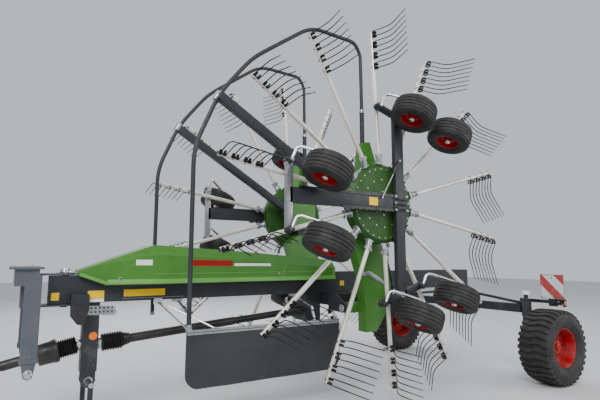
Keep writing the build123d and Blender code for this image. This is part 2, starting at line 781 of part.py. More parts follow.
# Arm sockets on the sides of the hub
arm_centre = Vector(rotor_x, -arm_y, rotor_z)
socket_centre = Vector(rotor_x, -arm_y + hub_outer_slope / 2, rotor_z)
with BuildPart() as arm_sockets:
    for outward, lead_dir, crop_dir in arm_frames:
        faceted_bar(
            socket_centre + outward * (hub_disc_radius + seat),
            socket_centre + outward * (hub_disc_radius + seat + socket_length), socket_radius,
        )
save_pair(arm_sockets, "arm_sockets")

# Rake arms
arm_start = hub_disc_radius + socket_length + 2 * seat
with BuildPart() as rake_arms:
    for outward, lead_dir, crop_dir in arm_frames:
        with BuildSketch(Plane(origin=arm_centre + outward * arm_start, x_dir=lead_dir, z_dir=outward)):
            RegularPolygon(arm_radius, arm_sides, major_radius=False, rotation=180 / arm_sides)
        extrude(amount=tip_radius - arm_start)
save_pair(rake_arms, "rake_arms")

# One double tine in its own frame: X leads, Y runs in along the arm, Z points down to the crop
coil_offset = arm_radius + tine_coil_radius + seat
tine_drop = ground_y - arm_y - coil_offset
upper_drop = tine_upper_length * cos(radians(tine_upper_lean))
lower_drop = tine_drop - upper_drop
knee_x = -upper_drop * tan(radians(tine_upper_lean))
tip_x = knee_x + lower_drop * tan(radians(tine_lower_lean))
with BuildPart() as double_tine:
    with BuildSketch(Plane.XZ.offset(-tine_spacing / 2 - tine_wire / 2)):
        with Locations((0, coil_offset)):
            RegularPolygon(tine_coil_radius, 6, major_radius=False)
    extrude(amount=tine_spacing + tine_wire)
    for prong in (-1, 1):
        with BuildSketch(Plane.XZ.offset(prong * tine_spacing / 2 - tine_wire / 2)):
            with BuildLine():
                Polyline(
                    (-tine_wire / 2, coil_offset), (tine_wire / 2, coil_offset),
                    (knee_x + tine_wire / 2, coil_offset + upper_drop),
                    (tip_x + tine_wire / 2, coil_offset + tine_drop),
                    (tip_x - tine_wire / 2, coil_offset + tine_drop),
                    (knee_x - tine_wire / 2, coil_offset + upper_drop),
                    close=True,
                )
            make_face()
        extrude(amount=tine_wire)

tine_places = []
for outward, lead_dir, crop_dir in arm_frames:
    for pair in range(tine_pairs):
        reach = tip_radius - tine_end_gap - tine_spacing * (0.5 + 2 * pair)
        tine_places.append(Plane(origin=arm_centre + outward * reach, x_dir=lead_dir, z_dir=crop_dir).location)
with BuildPart() as tines:
    with Locations(*tine_places):
        add(double_tine.part)
save_pair(tines, "tines")

# Guard hoop with its carrier from the gearbox
with BuildPart() as guard:
    def guard_point(angle):
        """A point of the hoop on its circle round the rotor."""
        turn = radians(angle)
        return (rotor_x + guard_radius * cos(turn), -guard_y, rotor_z + guard_radius * sin(turn))

    with BuildLine() as hoop:
        Polyline(
            (guard_front_x, -guard_y, guard_low_z), (guard_front_x, -guard_y, guard_shoulder_z),
            guard_point(150), guard_point(134), guard_point(119), (guard_crown_x, -guard_y, guard_crown_z),
            (guard_rear_x - guard_rear_corner, -guard_y, guard_rear_top_z),
            (guard_rear_x - 10, -guard_y, guard_rear_top_z - guard_rear_corner * 1.4),
            (guard_rear_x, -guard_y, guard_rear_low_z),
        )
    with BuildSketch(Plane(origin=hoop.line @ 0, z_dir=hoop.line % 0)):
        RegularPolygon(guard_tube, 8)
    sweep(path=hoop.line, transition=Transition.RIGHT)
    gearbox_side = rotor_x - gearbox_size / 2
    box_bar(
        (gearbox_side - 60, -guard_y - 50, rotor_z + 60), guard_point(151), guard_carrier_size, guard_carrier_size,
        x_dir=(0, 1, 0),
    )
    block(
        (gearbox_side - 110, -guard_y - 100, rotor_z - 20), (gearbox_side - seat, -guard_y + 10, rotor_z + 120)
    )
    faceted_bar(
        (guard_rear_x, -guard_y, gearbox_top_z + seat), (guard_rear_x, -guard_y, guard_rear_low_z + 40), guard_tube + 6
    )
save_pair(guard, "guard")

# Running gear: beam across the hub, post, splayed tandem bars and the front pair's upright
gear_y = gear_near_y + gear_depth / 2
splay = radians(tandem_splay)
post_x = rotor_x + gear_post_x
front_x = rotor_x + front_pair_x
castor_pivots = []
for up in (1, -1):
    tandem_z = rotor_z + up * tandem_height
    step_x = tandem_half_length * cos(splay)
    step_z = tandem_half_length * sin(splay)
    castor_pivots.append((post_x - step_x, tandem_z + up * step_z))
    castor_pivots.append((post_x + step_x, tandem_z - up * step_z))
for up in (1, -1):
    castor_pivots.append((front_x, rotor_z + up * front_pair_half))
castor_names = ["upper_front", "upper_rear", "lower_front", "lower_rear", "lead_upper", "lead_lower"]

with BuildPart() as running_gear:
    box_bar(
        (front_x, -gear_y, rotor_z), (post_x, -gear_y, rotor_z), gear_depth, gear_beam_width, x_dir=(0, 1, 0)
    )
    box_bar(
        (post_x, -gear_y, rotor_z - tandem_height), (post_x, -gear_y, rotor_z + tandem_height),
        gear_depth, gear_post_width, x_dir=(0, 1, 0),
    )
    for first, second in ((0, 1), (2, 3), (4, 5)):
        start = (castor_pivots[first][0], -gear_y, castor_pivots[first][1])
        end = (castor_pivots[second][0], -gear_y, castor_pivots[second][1])
        box_bar(start, end, gear_depth, tandem_width, x_dir=(0, 1, 0))
    for pivot_x, pivot_z in castor_pivots:
        faceted_bar(
            (pivot_x, -gear_near_y, pivot_z), (pivot_x, -gear_near_y - gear_depth, pivot_z), castor_boss_radius,
            x_dir=(1, 0, 0),
        )
    for pivot_x, pivot_z in castor_pivots:
        faceted_bar(
            (pivot_x, -gear_near_y + 1, pivot_z), (pivot_x, -gear_near_y - gear_depth - 1, pivot_z),
            castor_spindle_radius + running, x_dir=(1, 0, 0), mode=Mode.SUBTRACT,
        )
save_pair(running_gear, "running_gear")

# One castor in its own frame: X trails, Y is the wheel's axle, Z points down to the crop
castor_low_z = gear_near_y + gear_depth + 40
castor_axle_z = ground_y - small_tyre_radius
with BuildPart() as castor_fork:
    faceted_bar((0, 0, gear_near_y + 5), (0, 0, castor_low_z), castor_spindle_radius)
    with BuildLine(mode=Mode.PRIVATE) as bar_path:
        Polyline(
            (0, 0, castor_low_z - castor_bar_radius),
            (0, castor_bar_offset, castor_low_z - castor_bar_radius),
            (castor_trail, castor_bar_offset, castor_axle_z),
        )
    with BuildSketch(Plane(origin=bar_path.line @ 0, z_dir=bar_path.line % 0)):
        RegularPolygon(castor_bar_radius, 6)
    sweep(path=bar_path.line, transition=Transition.RIGHT)
    faceted_bar(
        (castor_trail, castor_bar_offset + castor_bar_radius, castor_axle_z),
        (castor_trail, -small_rim_half, castor_axle_z), small_stub_radius, x_dir=(1, 0, 0),
    )
    faceted_bar(
        (castor_trail, castor_bar_offset, castor_axle_z), (castor_trail, small_rim_half + seat, castor_axle_z),
        small_stub_radius + 10, x_dir=(1, 0, 0),
    )

small_shoulder_cut = (small_shoulder_in, small_shoulder)
axle_plane = Plane(origin=(castor_trail, 0, castor_axle_z), x_dir=(1, 0, 0), z_dir=(0, -1, 0))
with BuildPart() as small_wheel:
    half = small_tyre_width / 2
    add(drum(axle_plane, small_tyre_radius, -half, half, small_tyre_sides, small_shoulder_cut, small_shoulder_cut))
    add(drum(axle_plane, small_rim_radius + seat, -half, half, small_tyre_sides), mode=Mode.SUBTRACT)
    add(drum(axle_plane, small_rim_radius, -small_rim_half, small_rim_half, small_tyre_sides))
    dish = drum(
        axle_plane, small_rim_radius - small_dish_lip, small_rim_half - small_dish, small_rim_half, small_tyre_sides
    )
    add(dish, mode=Mode.SUBTRACT)
    add(drum(axle_plane, small_cap_radius, 0, small_rim_half, 6))
    with BuildSketch(axle_plane):
        RegularPolygon(small_stub_radius + running, 8, major_radius=False)
    extrude(amount=small_tyre_width, both=True, mode=Mode.SUBTRACT)

trail_dir = Vector(cos(radians(castor_angle)), 0, -sin(radians(castor_angle)))
for castor_name, (pivot_x, pivot_z) in zip(castor_names, castor_pivots):
    place = Plane(origin=(pivot_x, 0, pivot_z), x_dir=trail_dir, z_dir=(0, -1, 0)).location
    for piece, source in (("castor", castor_fork), ("castor_wheel", small_wheel)):
        left = source.part.moved(place)
        left.label = f"{piece}_{castor_name}_left"
        export_step(left, f"parts/{left.label}.step")
        right = mirror(left, about=Plane.XZ)
        right.label = f"{piece}_{castor_name}_right"
        export_step(right, f"parts/{right.label}.step")
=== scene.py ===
"""Looks of the folded rotary rake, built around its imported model.

Metres. +X points to the rear, +Z up, the left side is -Y, as in the model. Left-hand pieces are made
first and mirrored for the right side.
"""
import bmesh
import bpy
import json
from math import cos, pi, radians, sin, tan
from mathutils import Matrix, Vector

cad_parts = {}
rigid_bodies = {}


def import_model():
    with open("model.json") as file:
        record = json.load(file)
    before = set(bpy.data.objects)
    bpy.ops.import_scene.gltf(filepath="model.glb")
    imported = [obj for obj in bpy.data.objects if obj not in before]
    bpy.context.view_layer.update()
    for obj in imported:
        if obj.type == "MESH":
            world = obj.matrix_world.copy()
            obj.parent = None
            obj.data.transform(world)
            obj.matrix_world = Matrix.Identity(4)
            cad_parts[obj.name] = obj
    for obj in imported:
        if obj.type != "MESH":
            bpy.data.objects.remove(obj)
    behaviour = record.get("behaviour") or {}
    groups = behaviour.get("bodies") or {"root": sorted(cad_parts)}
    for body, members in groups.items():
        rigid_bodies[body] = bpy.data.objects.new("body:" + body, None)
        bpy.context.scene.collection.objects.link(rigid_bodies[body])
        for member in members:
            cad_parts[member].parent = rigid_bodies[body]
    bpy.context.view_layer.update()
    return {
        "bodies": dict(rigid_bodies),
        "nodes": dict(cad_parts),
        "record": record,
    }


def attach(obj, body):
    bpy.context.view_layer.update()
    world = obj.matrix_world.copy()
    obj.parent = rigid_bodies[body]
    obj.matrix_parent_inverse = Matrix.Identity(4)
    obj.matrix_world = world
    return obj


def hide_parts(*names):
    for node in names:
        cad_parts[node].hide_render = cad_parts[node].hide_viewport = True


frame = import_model()
nodes = frame["nodes"]
sides = ("left", "right")
rear, right, up = Vector((1, 0, 0)), Vector((0, 1, 0)), Vector((0, 0, 1))
left = -right

# How far stickers and thin plates lie off their seats
film = 0.0002

# Rotors
rotor_x, rotor_z = 0.450, 2.000
hub_radius, hub_bore = 0.410, 0.0515
hub_inner_y, hub_outer_y = 0.770, 0.950
arm_y, arm_radius = 0.930, 0.022
arm_count, arm_phase = 14, 92.9
arm_start, socket_start, tip_radius = 0.4806, 0.4105, 1.830
arm_centre = Vector((rotor_x, -arm_y, rotor_z))
ground_y = 1.495

# How far each arm is turned by the cam track: (arm angle, pitch) from +X towards +Z
cam_pitch = [
    (-180, 0), (-112, 0), (-87, 20), (-61, 75), (-34, 85), (15, 88), (41, 60), (68, 30), (92, 0), (180, 0),
]

# Tines
tine_pairs, tine_spacing, tine_end_gap = 4, 0.058, 0.005
tine_wire = 0.009
coil_radius, coil_turns, coil_gap, coil_steps = 0.0215, 2.3, 0.016, 24
tine_upper_length = 0.200
tine_upper_lean, tine_lower_lean = radians(15), radians(18)

# Castors and their wheels
castor_angle, castor_trail = radians(25), 0.265
castor_bar_radius, castor_bar_offset = 0.015, 0.150
gear_near_y, gear_depth = 0.975, 0.052
gear_far_y = gear_near_y + gear_depth
small_tyre_radius, small_tyre_width = 0.225, 0.214
small_rim_radius, small_rim_half = 0.108, 0.067


# Mesh helpers

def gather(count):
    """Empty meshes to gather faces in."""
    return [bmesh.new() for _ in range(count)]


def turns(count, start=0.0):
    """Angles spaced evenly round a circle."""
    return [start + 2 * pi * step / count for step in range(count)]


def skin(bm, rings, closed=False):
    """Faces between rings of points, one after the other, joined into a loop or capped at both ends."""
    rings = [[bm.verts.new(point) for point in ring] for ring in rings]
    for first, second in zip(rings, rings[1:] + rings[:1] if closed else rings[1:]):
        for index in range(len(first)):
            bm.faces.new((first[index - 1], first[index], second[index], second[index - 1]))
    if not closed:
        bm.faces.new(rings[0])
        bm.faces.new(rings[-1])


def tube(bm, path, radius, facets=20):
    """A round tube along a path, its radius one number or one for each point."""
    points = [Vector(point) for point in path]
    radii = radius if isinstance(radius, list) else [radius] * len(points)
    last = len(points) - 1
    normal = (points[1] - points[0]).orthogonal().normalized()
    rings = []
    for index, point in enumerate(points):
        tangent = (points[min(index + 1, last)] - points[max(index - 1, 0)]).normalized()
        normal = (normal - tangent * normal.dot(tangent)).normalized()
        across = tangent.cross(normal)
        rings.append([point + (normal * cos(t) + across * sin(t)) * radii[index] for t in turns(facets)])
    skin(bm, rings)


def stub(bm, start, reach, radius, facets=20):
    """A short round bar, from its start as far as the vector reach."""
    tube(bm, [start, Vector(start) + reach], radius, facets)


def rounded(corners, radius, steps=6):
    """A path with its corners rounded."""
    points = [Vector(corner) for corner in corners]
    path = [points[0]]
    for before, corner, after in zip(points, points[1:], points[2:]):
        back, ahead = before - corner, after - corner
        reach = min(radius, back.length * 0.45, ahead.length * 0.45)
        start, end = corner + back.normalized() * reach, corner + ahead.normalized() * reach
        for step in range(steps + 1):
            part = step / steps
            path.append(start.lerp(corner, part).lerp(corner.lerp(end, part), part))
    return path + [points[-1]]


def lathe(bm, profile, origin, axis, steps):
    """A closed ring of profile points (along the axis, radius), turned round it."""
    origin, axis = Vector(origin), Vector(axis).normalized()
    side = axis.orthogonal().normalized()
    across = axis.cross(side)
    rings = []
    for turn in turns(steps):
        outward = side * cos(turn) + across * sin(turn)
        rings.append([origin + axis * along + outward * radius for along, radius in profile])
    skin(bm, rings, closed=True)


def revolve_along(bm, start, heading, section, steps=40):
    """A solid of revolution whose section (along, radius) runs out from start, closed at both ends."""
    core = 0.0005
    lathe(bm, [(section[0][0], core)] + section + [(section[-1][0], core)], start, heading, steps)


def prism(bm, outline, origin, u, v, depth):
    """A flat outline in the plane of u and v, as thick as depth along their normal, half on each side."""
    origin, u, v = Vector(origin), Vector(u).normalized(), Vector(v).normalized()
    half = u.cross(v) * (depth / 2)
    skin(bm, [[origin + u * a + v * b + offset for a, b in outline] for offset in (-half, half)])


def rectangle(low, high):
    """The corners of a rectangle between two corners."""
    return [(low[0], low[1]), (high[0], low[1]), (high[0], high[1]), (low[0], high[1])]


def centred(width, depth):
    """The corners of a rectangle round the origin."""
    return rectangle((-width / 2, -depth / 2), (width / 2, depth / 2))


def box(bm, low, high):
    """A box between two corners."""
    low, high = Vector(low), Vector(high)
    size = high - low
    prism(bm, centred(size.x, size.y), (low + high) / 2, rear, right, size.z)


def bar(bm, start, end, width, depth, x_dir=right):
    """A rectangular bar from start to end, its width along x_dir."""
    start, end = Vector(start), Vector(end)
    y_dir = (end - start).normalized().cross(x_dir)
    prism(bm, centred(width, depth), (start + end) / 2, x_dir, y_dir, (end - start).length)


def plate(bm, outline, y, thickness):
    """A plate whose outline is its (x, z) corners, its far face at y and its near face towards the left."""
    prism(bm, outline, (0, y - thickness / 2, 0), rear, up, thickness)


def on_circle(centre, radius, count, start=0.0, other=up):
    """Points spaced evenly round a circle in the plane of the rear and another direction."""
    return [Vector(centre) + (rear * cos(turn) + other * sin(turn)) * radius for turn in turns(count, start)]


def bolt(bm, seat, radius, height, facing=left):
    """A hexagon head on a washer, standing on its seat."""
    facing = facing.normalized()
    washer_top = Vector(seat) + facing * (height * 0.25)
    tube(bm, [seat, washer_top], radius * 1.35, 16)
    stub(bm, washer_top, facing * height, radius, 6)


def stamp(bm, template, place):
    """Add a copy of a template mesh at a place."""
    copy = template.copy()
    copy.transform(place)
    bm.from_mesh(copy)
    bpy.data.meshes.remove(copy)


def axes(origin, x_dir, y_dir, z_dir):
    """The matrix that places a template by its origin and directions."""
    matrix = Matrix((x_dir, y_dir, z_dir)).transposed().to_4x4()
    matrix.translation = origin
    return matrix


def as_mesh(bm, name, sharp=35, bevel=0.0):
    """Turn gathered faces into a mesh, their sharp edges bevelled where a bevel is given."""
    bmesh.ops.recalc_face_normals(bm, faces=bm.faces)
    if bevel:
        edges = [edge for edge in bm.edges if edge.is_manifold and edge.calc_face_angle(0) > radians(sharp)]
        bmesh.ops.bevel(
            bm, geom=edges, offset=bevel, segments=2, profile=0.6, affect="EDGES", clamp_overlap=True,
        )
    mesh = bpy.data.meshes.new(name)
    bm.to_mesh(mesh)
    bm.free()
    return mesh


def add_object(name, data):
    """Put new data in the scene as an object."""
    made = bpy.data.objects.new(name, data)
    bpy.context.scene.collection.objects.link(made)
    return made


def add_piece(name, bm, body, finish, replaces=(), sharp=35, bevel=0.0, slot=None):
    """Make gathered faces an object that rides on a body, with its finish; the slot argument is not used."""
    mesh = as_mesh(bm, name, sharp, bevel)
    mesh.materials.append(materials[finish])
    mesh.shade_smooth()
    mesh.set_sharp_from_angle(angle=radians(sharp))
    piece = add_object(name, mesh)
    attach(piece, body)
    if replaces:
        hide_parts(*replaces)
    return piece


def add_pair(name, bm, body, finish, replaces=(), **options):
    """A left-hand piece and its mirror image. Names in body and replaces take the side's name after them."""
    for side in sides:
        if side == "right":
            bmesh.ops.scale(bm, vec=(1, -1, 1), verts=bm.verts)
        body_name = body if body in frame["bodies"] else f"{body}_{side}"
        node_names = [f"{node}_{side}" for node in replaces]
        add_piece(f"{name}_{side}", bm.copy(), body_name, finish, node_names, **options)
    bm.free()


# Materials

materials = {}


class Shader:
    """A principled material, kept under its name, with short ways to its nodes."""

    def __init__(self, name):
        self.material = materials[name] = bpy.data.materials.new(name)
        self.material.use_nodes = True
        self.tree = self.material.node_tree
        self.surface = self.tree.nodes["Principled BSDF"].inputs
        self.place = self.tree.nodes.new("ShaderNodeTexCoord").outputs["Object"]

    def join(self, socket, value):
        """Set a socket to a number or a colour, or join another socket to it."""
        if isinstance(value, bpy.types.NodeSocket):
            self.tree.links.new(value, socket)
        else:
            socket.default_value = value

    def node(self, kind, **inputs):
        """A node with its inputs set or joined."""
        made = self.tree.nodes.new(kind)
        for key, value in inputs.items():
            self.join(made.inputs[key.replace("_", " ")], value)
        return made

    def along(self, axis):
        """The place along an axis: X, Y or Z."""
        return self.node("ShaderNodeSeparateXYZ", Vector=self.place).outputs[axis]

    def noise(self, scale, detail, roughness=0.55, stretch=None):
        """Noise over the object, from 0 to 1, finer along an axis where stretched."""
        place = self.place
        if stretch:
            place = self.node("ShaderNodeMapping", Vector=place, Scale=stretch).outputs["Vector"]
        made = self.node("ShaderNodeTexNoise", Vector=place, Scale=scale, Detail=detail, Roughness=roughness)
        return made.outputs["Fac"]

    def cells(self, scale):
        """The distance from the middles of irregular cells."""
        return self.node("ShaderNodeTexVoronoi", Vector=self.place, Scale=scale).outputs["Distance"]

    def ramp(self, value, low, high, start=0.0, end=1.0):
        """A value spread from start to end as it passes from low to high."""
        limits = {"From_Min": low, "From_Max": high, "To_Min": start, "To_Max": end}
        return self.node("ShaderNodeMapRange", Value=value, **limits).outputs["Result"]

    def patches(self, scale, detail, low, high, roughness=0.55, stretch=None):
        """Noise with its values from low to high spread over 0 to 1."""
        return self.ramp(self.noise(scale, detail, roughness, stretch), low, high)

    def math(self, operation, *values):
        """The result of a sum on one or two values."""
        made = self.tree.nodes.new("ShaderNodeMath")
        made.operation = operation
        for socket, value in zip(made.inputs, values):
            self.join(socket, value)
        return made.outputs["Value"]

    def times(self, product, *others):
        """The product of some values."""
        for other in others:
            product = self.math("MULTIPLY", product, other)
        return product

    def blend(self, share, first, second):
        """One colour turning into another."""
        made = self.tree.nodes.new("ShaderNodeMix")
        made.data_type = "RGBA"
        self.join(made.inputs["Factor"], share)
        for key, colour in (("A", first), ("B", second)):
            self.join(made.inputs[key], (*colour, 1) if isinstance(colour, tuple) else colour)
        return made.outputs["Result"]

    def layer(self, base, colour, *shares):
        """A colour laid over another, by the product of its shares."""
        return self.blend(self.times(*shares), base, colour)

    def finish(self, colour, rough, bump, strength=0.2, distance=0.001, metallic=0.0):
        """Join the results to the surface. Rough is the scale, detail, least and most of its roughness."""
        scale, detail, least, most = rough
        self.join(self.surface["Base Color"], colour)
        self.join(self.surface["Roughness"], self.ramp(self.noise(scale, detail), 0.3, 0.7, least, most))
        self.join(self.surface["Metallic"], metallic)
        made = self.node("ShaderNodeBump", Height=bump, Strength=strength, Distance=distance)
        self.join(self.surface["Normal"], made.outputs["Normal"])
        return self.material


def painted(name, colour, shade, roughness=0.35, coat=0.0, shine=0.3):
    """Sprayed paint: slow changes of colour, orange peel, small scuffs, and dust that gathers low down."""
    shader, dust = Shader(name), (0.30, 0.28, 0.24)
    base = shader.blend(shader.patches(2.3, 3, 0.35, 0.65), colour, shade)
    scuffed = shader.layer(base, dust, shader.patches(38, 9, 0.60, 0.74, 0.72), 0.35)
    low_down = shader.ramp(shader.along("Z"), 1.3, 0.2)
    dusty = shader.layer(scuffed, dust, shader.patches(6.5, 8, 0.45, 0.75, 0.68), low_down, 0.3)
    shader.join(shader.surface["Specular IOR Level"], shine)
    shader.join(shader.surface["Coat Weight"], coat)
    shader.join(shader.surface["Coat Roughness"], 0.12)
    shader.finish(dusty, (14, 6, roughness - 0.06, roughness + 0.14), shader.noise(420, 2), 0.12, 0.0006)


def bright_metal(name, colour, shade, roughness=0.35, metallic=0.85, spangle=55.0):
    """Zinc or bare steel: crystals of two greys and dull streaks."""
    shader = Shader(name)
    base = shader.blend(shader.cells(spangle), colour, shade)
    streaks = shader.patches(9, 8, 0.48, 0.72, 0.7, (1, 1, 0.25))
    dulled = shader.layer(base, (0.20, 0.19, 0.17), streaks, 0.5)
    rough = (30, 5, roughness - 0.08, roughness + 0.18)
    shader.finish(dulled, rough, shader.noise(160, 4), 0.15, 0.0006, metallic)


def rubber(name, colour, dust, roughness=0.72):
    """Black rubber with dry dust in its hollows and a fine grain."""
    shader = Shader(name)
    dusty = shader.layer(colour, dust, shader.patches(7, 8, 0.40, 0.72, 0.7), 0.55)
    grained = shader.layer(dusty, dust, shader.patches(90, 6, 0.45, 0.7, 0.7), 0.20)
    shader.finish(grained, (20, 5, roughness - 0.1, roughness + 0.12), shader.noise(300, 4), 0.35, 0.0008)


def coated_cloth(name):
    """Black rubberised cloth: a fine weave under the coating and a pale bloom of dust, more near its foot."""
    shader = Shader(name)
    bloom = shader.patches(1.7, 5, 0.30, 0.75, 0.55, (1, 1, 2.4))
    base = shader.blend(bloom, (0.017, 0.018, 0.021), (0.028, 0.029, 0.031))
    low_down = shader.ramp(shader.along("Z"), 0.55, 0.31)
    streaks = shader.patches(13, 8, 0.50, 0.72, 0.7, (1, 1, 0.2))
    dusty = shader.layer(base, (0.21, 0.19, 0.16), streaks, low_down, 0.10)
    waves = [shader.node("ShaderNodeTexWave", Vector=shader.place, Scale=160.0) for _ in range(2)]
    for wave, direction in zip(waves, "XZ"):
        wave.bands_direction = direction
    weave = shader.times(*[wave.outputs["Fac"] for wave in waves])
    shader.finish(dusty, (6, 6, 0.42, 0.62), weave, 0.12, 0.0004)


def arm_finish(name):
    """The arms' pale coating: chalky, yellowed along its length and streaked with oily dirt."""
    shader = Shader(name)
    base = shader.blend(shader.patches(5, 5, 0.35, 0.7), (0.74, 0.73, 0.66), (0.60, 0.57, 0.48))
    dirty = shader.layer(base, (0.14, 0.12, 0.09), shader.patches(16, 9, 0.56, 0.72, 0.72), 0.35)
    shader.finish(dirty, (25, 5, 0.26, 0.48), shader.noise(140, 5), 0.2, 0.0008, 0.45)


# Where the warning board's sheet ends and its bracket begins
board_low_z, board_back_x = 0.964, 2.803


def striped(name, width, light, dark):
    """Slanted warning stripes on a reflective sheet with a fine honeycomb, and dark paint on its bracket."""
    shader = Shader(name)
    slant = shader.math("ADD", shader.math("ABSOLUTE", shader.along("Y")), shader.along("Z"))
    edge = shader.ramp(shader.math("PINGPONG", slant, width), width * 0.495, width * 0.505)
    honeycomb = shader.cells(260.0)
    shaded = shader.layer(shader.blend(edge, light, dark), (0.35, 0.34, 0.33), honeycomb, 0.25)
    dusty = shader.layer(shaded, (0.4, 0.37, 0.32), shader.patches(9, 8, 0.5, 0.75, 0.7), 0.3)
    above_foot = shader.ramp(shader.along("Z"), board_low_z - 0.003, board_low_z - 0.001)
    before_bracket = shader.ramp(shader.along("X"), board_back_x + 0.0006, board_back_x + 0.0003)
    whole = shader.blend(shader.times(above_foot, before_bracket), (0.020, 0.022, 0.025), dusty)
    shader.finish(whole, (20, 4, 0.25, 0.45), honeycomb, 0.1, 0.0005)


painted("green_paint", (0.052, 0.190, 0.022), (0.040, 0.150, 0.016), 0.34, coat=0.12)
painted("green_dark", (0.022, 0.080, 0.010), (0.015, 0.058, 0.007), 0.44, shine=0.25)
# A lighter copy of the green paint for the hood's edges: painted highlight
painted("green_painted_highlight", (0.110, 0.310, 0.055), (0.090, 0.260, 0.043), 0.34, coat=0.12)
painted("grey_paint", (0.028, 0.031, 0.036), (0.020, 0.023, 0.027), 0.42)
painted("grey_light", (0.080, 0.090, 0.105), (0.064, 0.073, 0.086), 0.40)
painted("red_paint", (0.33, 0.002, 0.004), (0.24, 0.002, 0.003), 0.40, shine=0.25)
painted("tine_steel", (0.005, 0.005, 0.006), (0.009, 0.009, 0.011), 0.55, shine=0.2)
painted("white_sheet", (0.78, 0.79, 0.78), (0.70, 0.71, 0.70), 0.3)
painted("yellow_sheet", (0.88, 0.56, 0.003), (0.80, 0.50, 0.003), 0.45, shine=0.15)
painted("red_lens", (0.55, 0.010, 0.008), (0.42, 0.008, 0.006), 0.14, coat=0.8)
painted("lamp", (0.80, 0.17, 0.001), (0.68, 0.12, 0.001), 0.20, coat=0.4)
rubber("black_plastic", (0.007, 0.007, 0.008), (0.045, 0.043, 0.040), 0.42)
rubber("tyre", (0.007, 0.007, 0.008), (0.050, 0.047, 0.043))
bright_metal("galvanised", (0.44, 0.45, 0.47), (0.29, 0.30, 0.32))
bright_metal("bright_steel", (0.72, 0.72, 0.71), (0.58, 0.58, 0.58), 0.22, 1.0, 120.0)
arm_finish("arm_tube")
coated_cloth("curtain_cloth")
striped("board_stripes", 0.138, (0.66, 0.67, 0.68), (0.40, 0.002, 0.004))

# The finish of the model's own nodes where it isn't that of their slot
node_finish = {"headstock": "grey_light", "rear_lamps": "black_plastic"}


def dress_frame():
    """Give every carried-over node its finish."""
    for entry in frame["record"]["subparts"]:
        mesh = nodes[entry["node"]].data
        mesh.materials.clear()
        mesh.materials.append(materials[node_finish.get(entry["node"], entry["material_slot"])])


# Rotors

def pitch_at(angle):
    """The cam's turn of an arm at this angle, from the table."""
    turn = (angle + 180) % 360 - 180
    for (low, first), (high, second) in zip(cam_pitch, cam_pitch[1:]):
        if low <= turn <= high:
            return first + (second - first) * (turn - low) / (high - low)
    return 0


def arm_frames():
    """Each arm's directions: out along it, the way its tines lead, and the way they point to the crop."""
    for step in range(arm_count):
        arm_angle = arm_phase + step * 360 / arm_count
        angle, turn = radians(arm_angle), radians(pitch_at(arm_angle))
        outward = Vector((cos(angle), 0, sin(angle)))
        leading = Vector((-sin(angle), 0, cos(angle)))
        yield outward, leading * cos(turn) + left * sin(turn), left * cos(turn) - leading * sin(turn)


def make_arms():
    """Smooth tubes out of the sockets, each with a plastic end plug, and the clamps that hold them."""
    tubes, plugs, clamps = gather(3)
    collar_half, ear_reach = 0.018, arm_radius + 0.011
    for outward, lead_dir, crop_dir in arm_frames():
        start, tip = arm_centre + outward * arm_start, arm_centre + outward * tip_radius
        tube(tubes, [start, tip - outward * 0.004], arm_radius)
        stub(plugs, tip - outward * 0.012, outward * 0.0115, arm_radius * 0.86, 16)
        collar = start + outward * 0.020
        stub(clamps, collar - outward * collar_half, outward * (2 * collar_half), arm_radius + 0.009)
        for end in (-1, 1):
            ear = collar + lead_dir * (end * ear_reach)
            bolt(clamps, ear + crop_dir * 0.008, 0.008, 0.007, crop_dir)
            prism(clamps, centred(0.032, 0.016), ear, outward, crop_dir, 0.018)
    add_pair("rake_arm_tubes", tubes, "rotor", "arm_tube", ["rake_arms"])
    add_pair("arm_plugs", plugs, "rotor", "black_plastic")
    add_pair("arm_clamps", clamps, "rotor", "galvanised")


def tine_template():
    """A double tine: two coils under the arm, each running out into a bent prong."""
    bm = bmesh.new()
    coil_z = arm_radius + coil_radius + tine_wire / 2
    drop = ground_y - arm_y - coil_z
    upper_drop = tine_upper_length * cos(tine_upper_lean)
    knee_x = -upper_drop * tan(tine_upper_lean)
    tip_x = knee_x + (drop - upper_drop) * tan(tine_lower_lean)
    for prong in (-1, 1):
        coil = []
        for step in range(coil_steps + 1):
            part = step / coil_steps
            turn = -pi / 2 + part * (coil_turns * 2 * pi)
            y = prong * (coil_gap / 2 + part * (tine_spacing / 2 - coil_gap / 2))
            coil.append(Vector((coil_radius * cos(turn), y, coil_z + coil_radius * sin(turn))))
        y = prong * tine_spacing / 2
        corners = [coil[-1], (knee_x, y, coil_z + upper_drop), (tip_x, y, coil_z + drop - tine_wire / 2)]
        bends = rounded(corners, 0.12, 5)[1:]
        radii = [tine_wire * 0.50] * len(coil) + [tine_wire * 0.58] * (len(bends) - 1) + [tine_wire * 0.42]
        tube(bm, coil + bends, radii, 6)
    return as_mesh(bm, "tine_template")


def clamp_template():
    """The saddle and bolt that hold a double tine to its arm."""
    bm = bmesh.new()
    reach, inner_share = arm_radius + 0.003, 0.92
    saddle = [radians(150 + 24 * step) for step in range(11)]
    outer = [(reach * cos(turn), reach * sin(turn)) for turn in saddle]
    inner = [(inner_share * x, inner_share * z) for x, z in reversed(outer)]
    prism(bm, outer + inner, (0, 0, 0), rear, up, 0.020)
    bolt(bm, (0, 0, -arm_radius - 0.002), 0.008, 0.007, -up)
    return as_mesh(bm, "clamp_template")


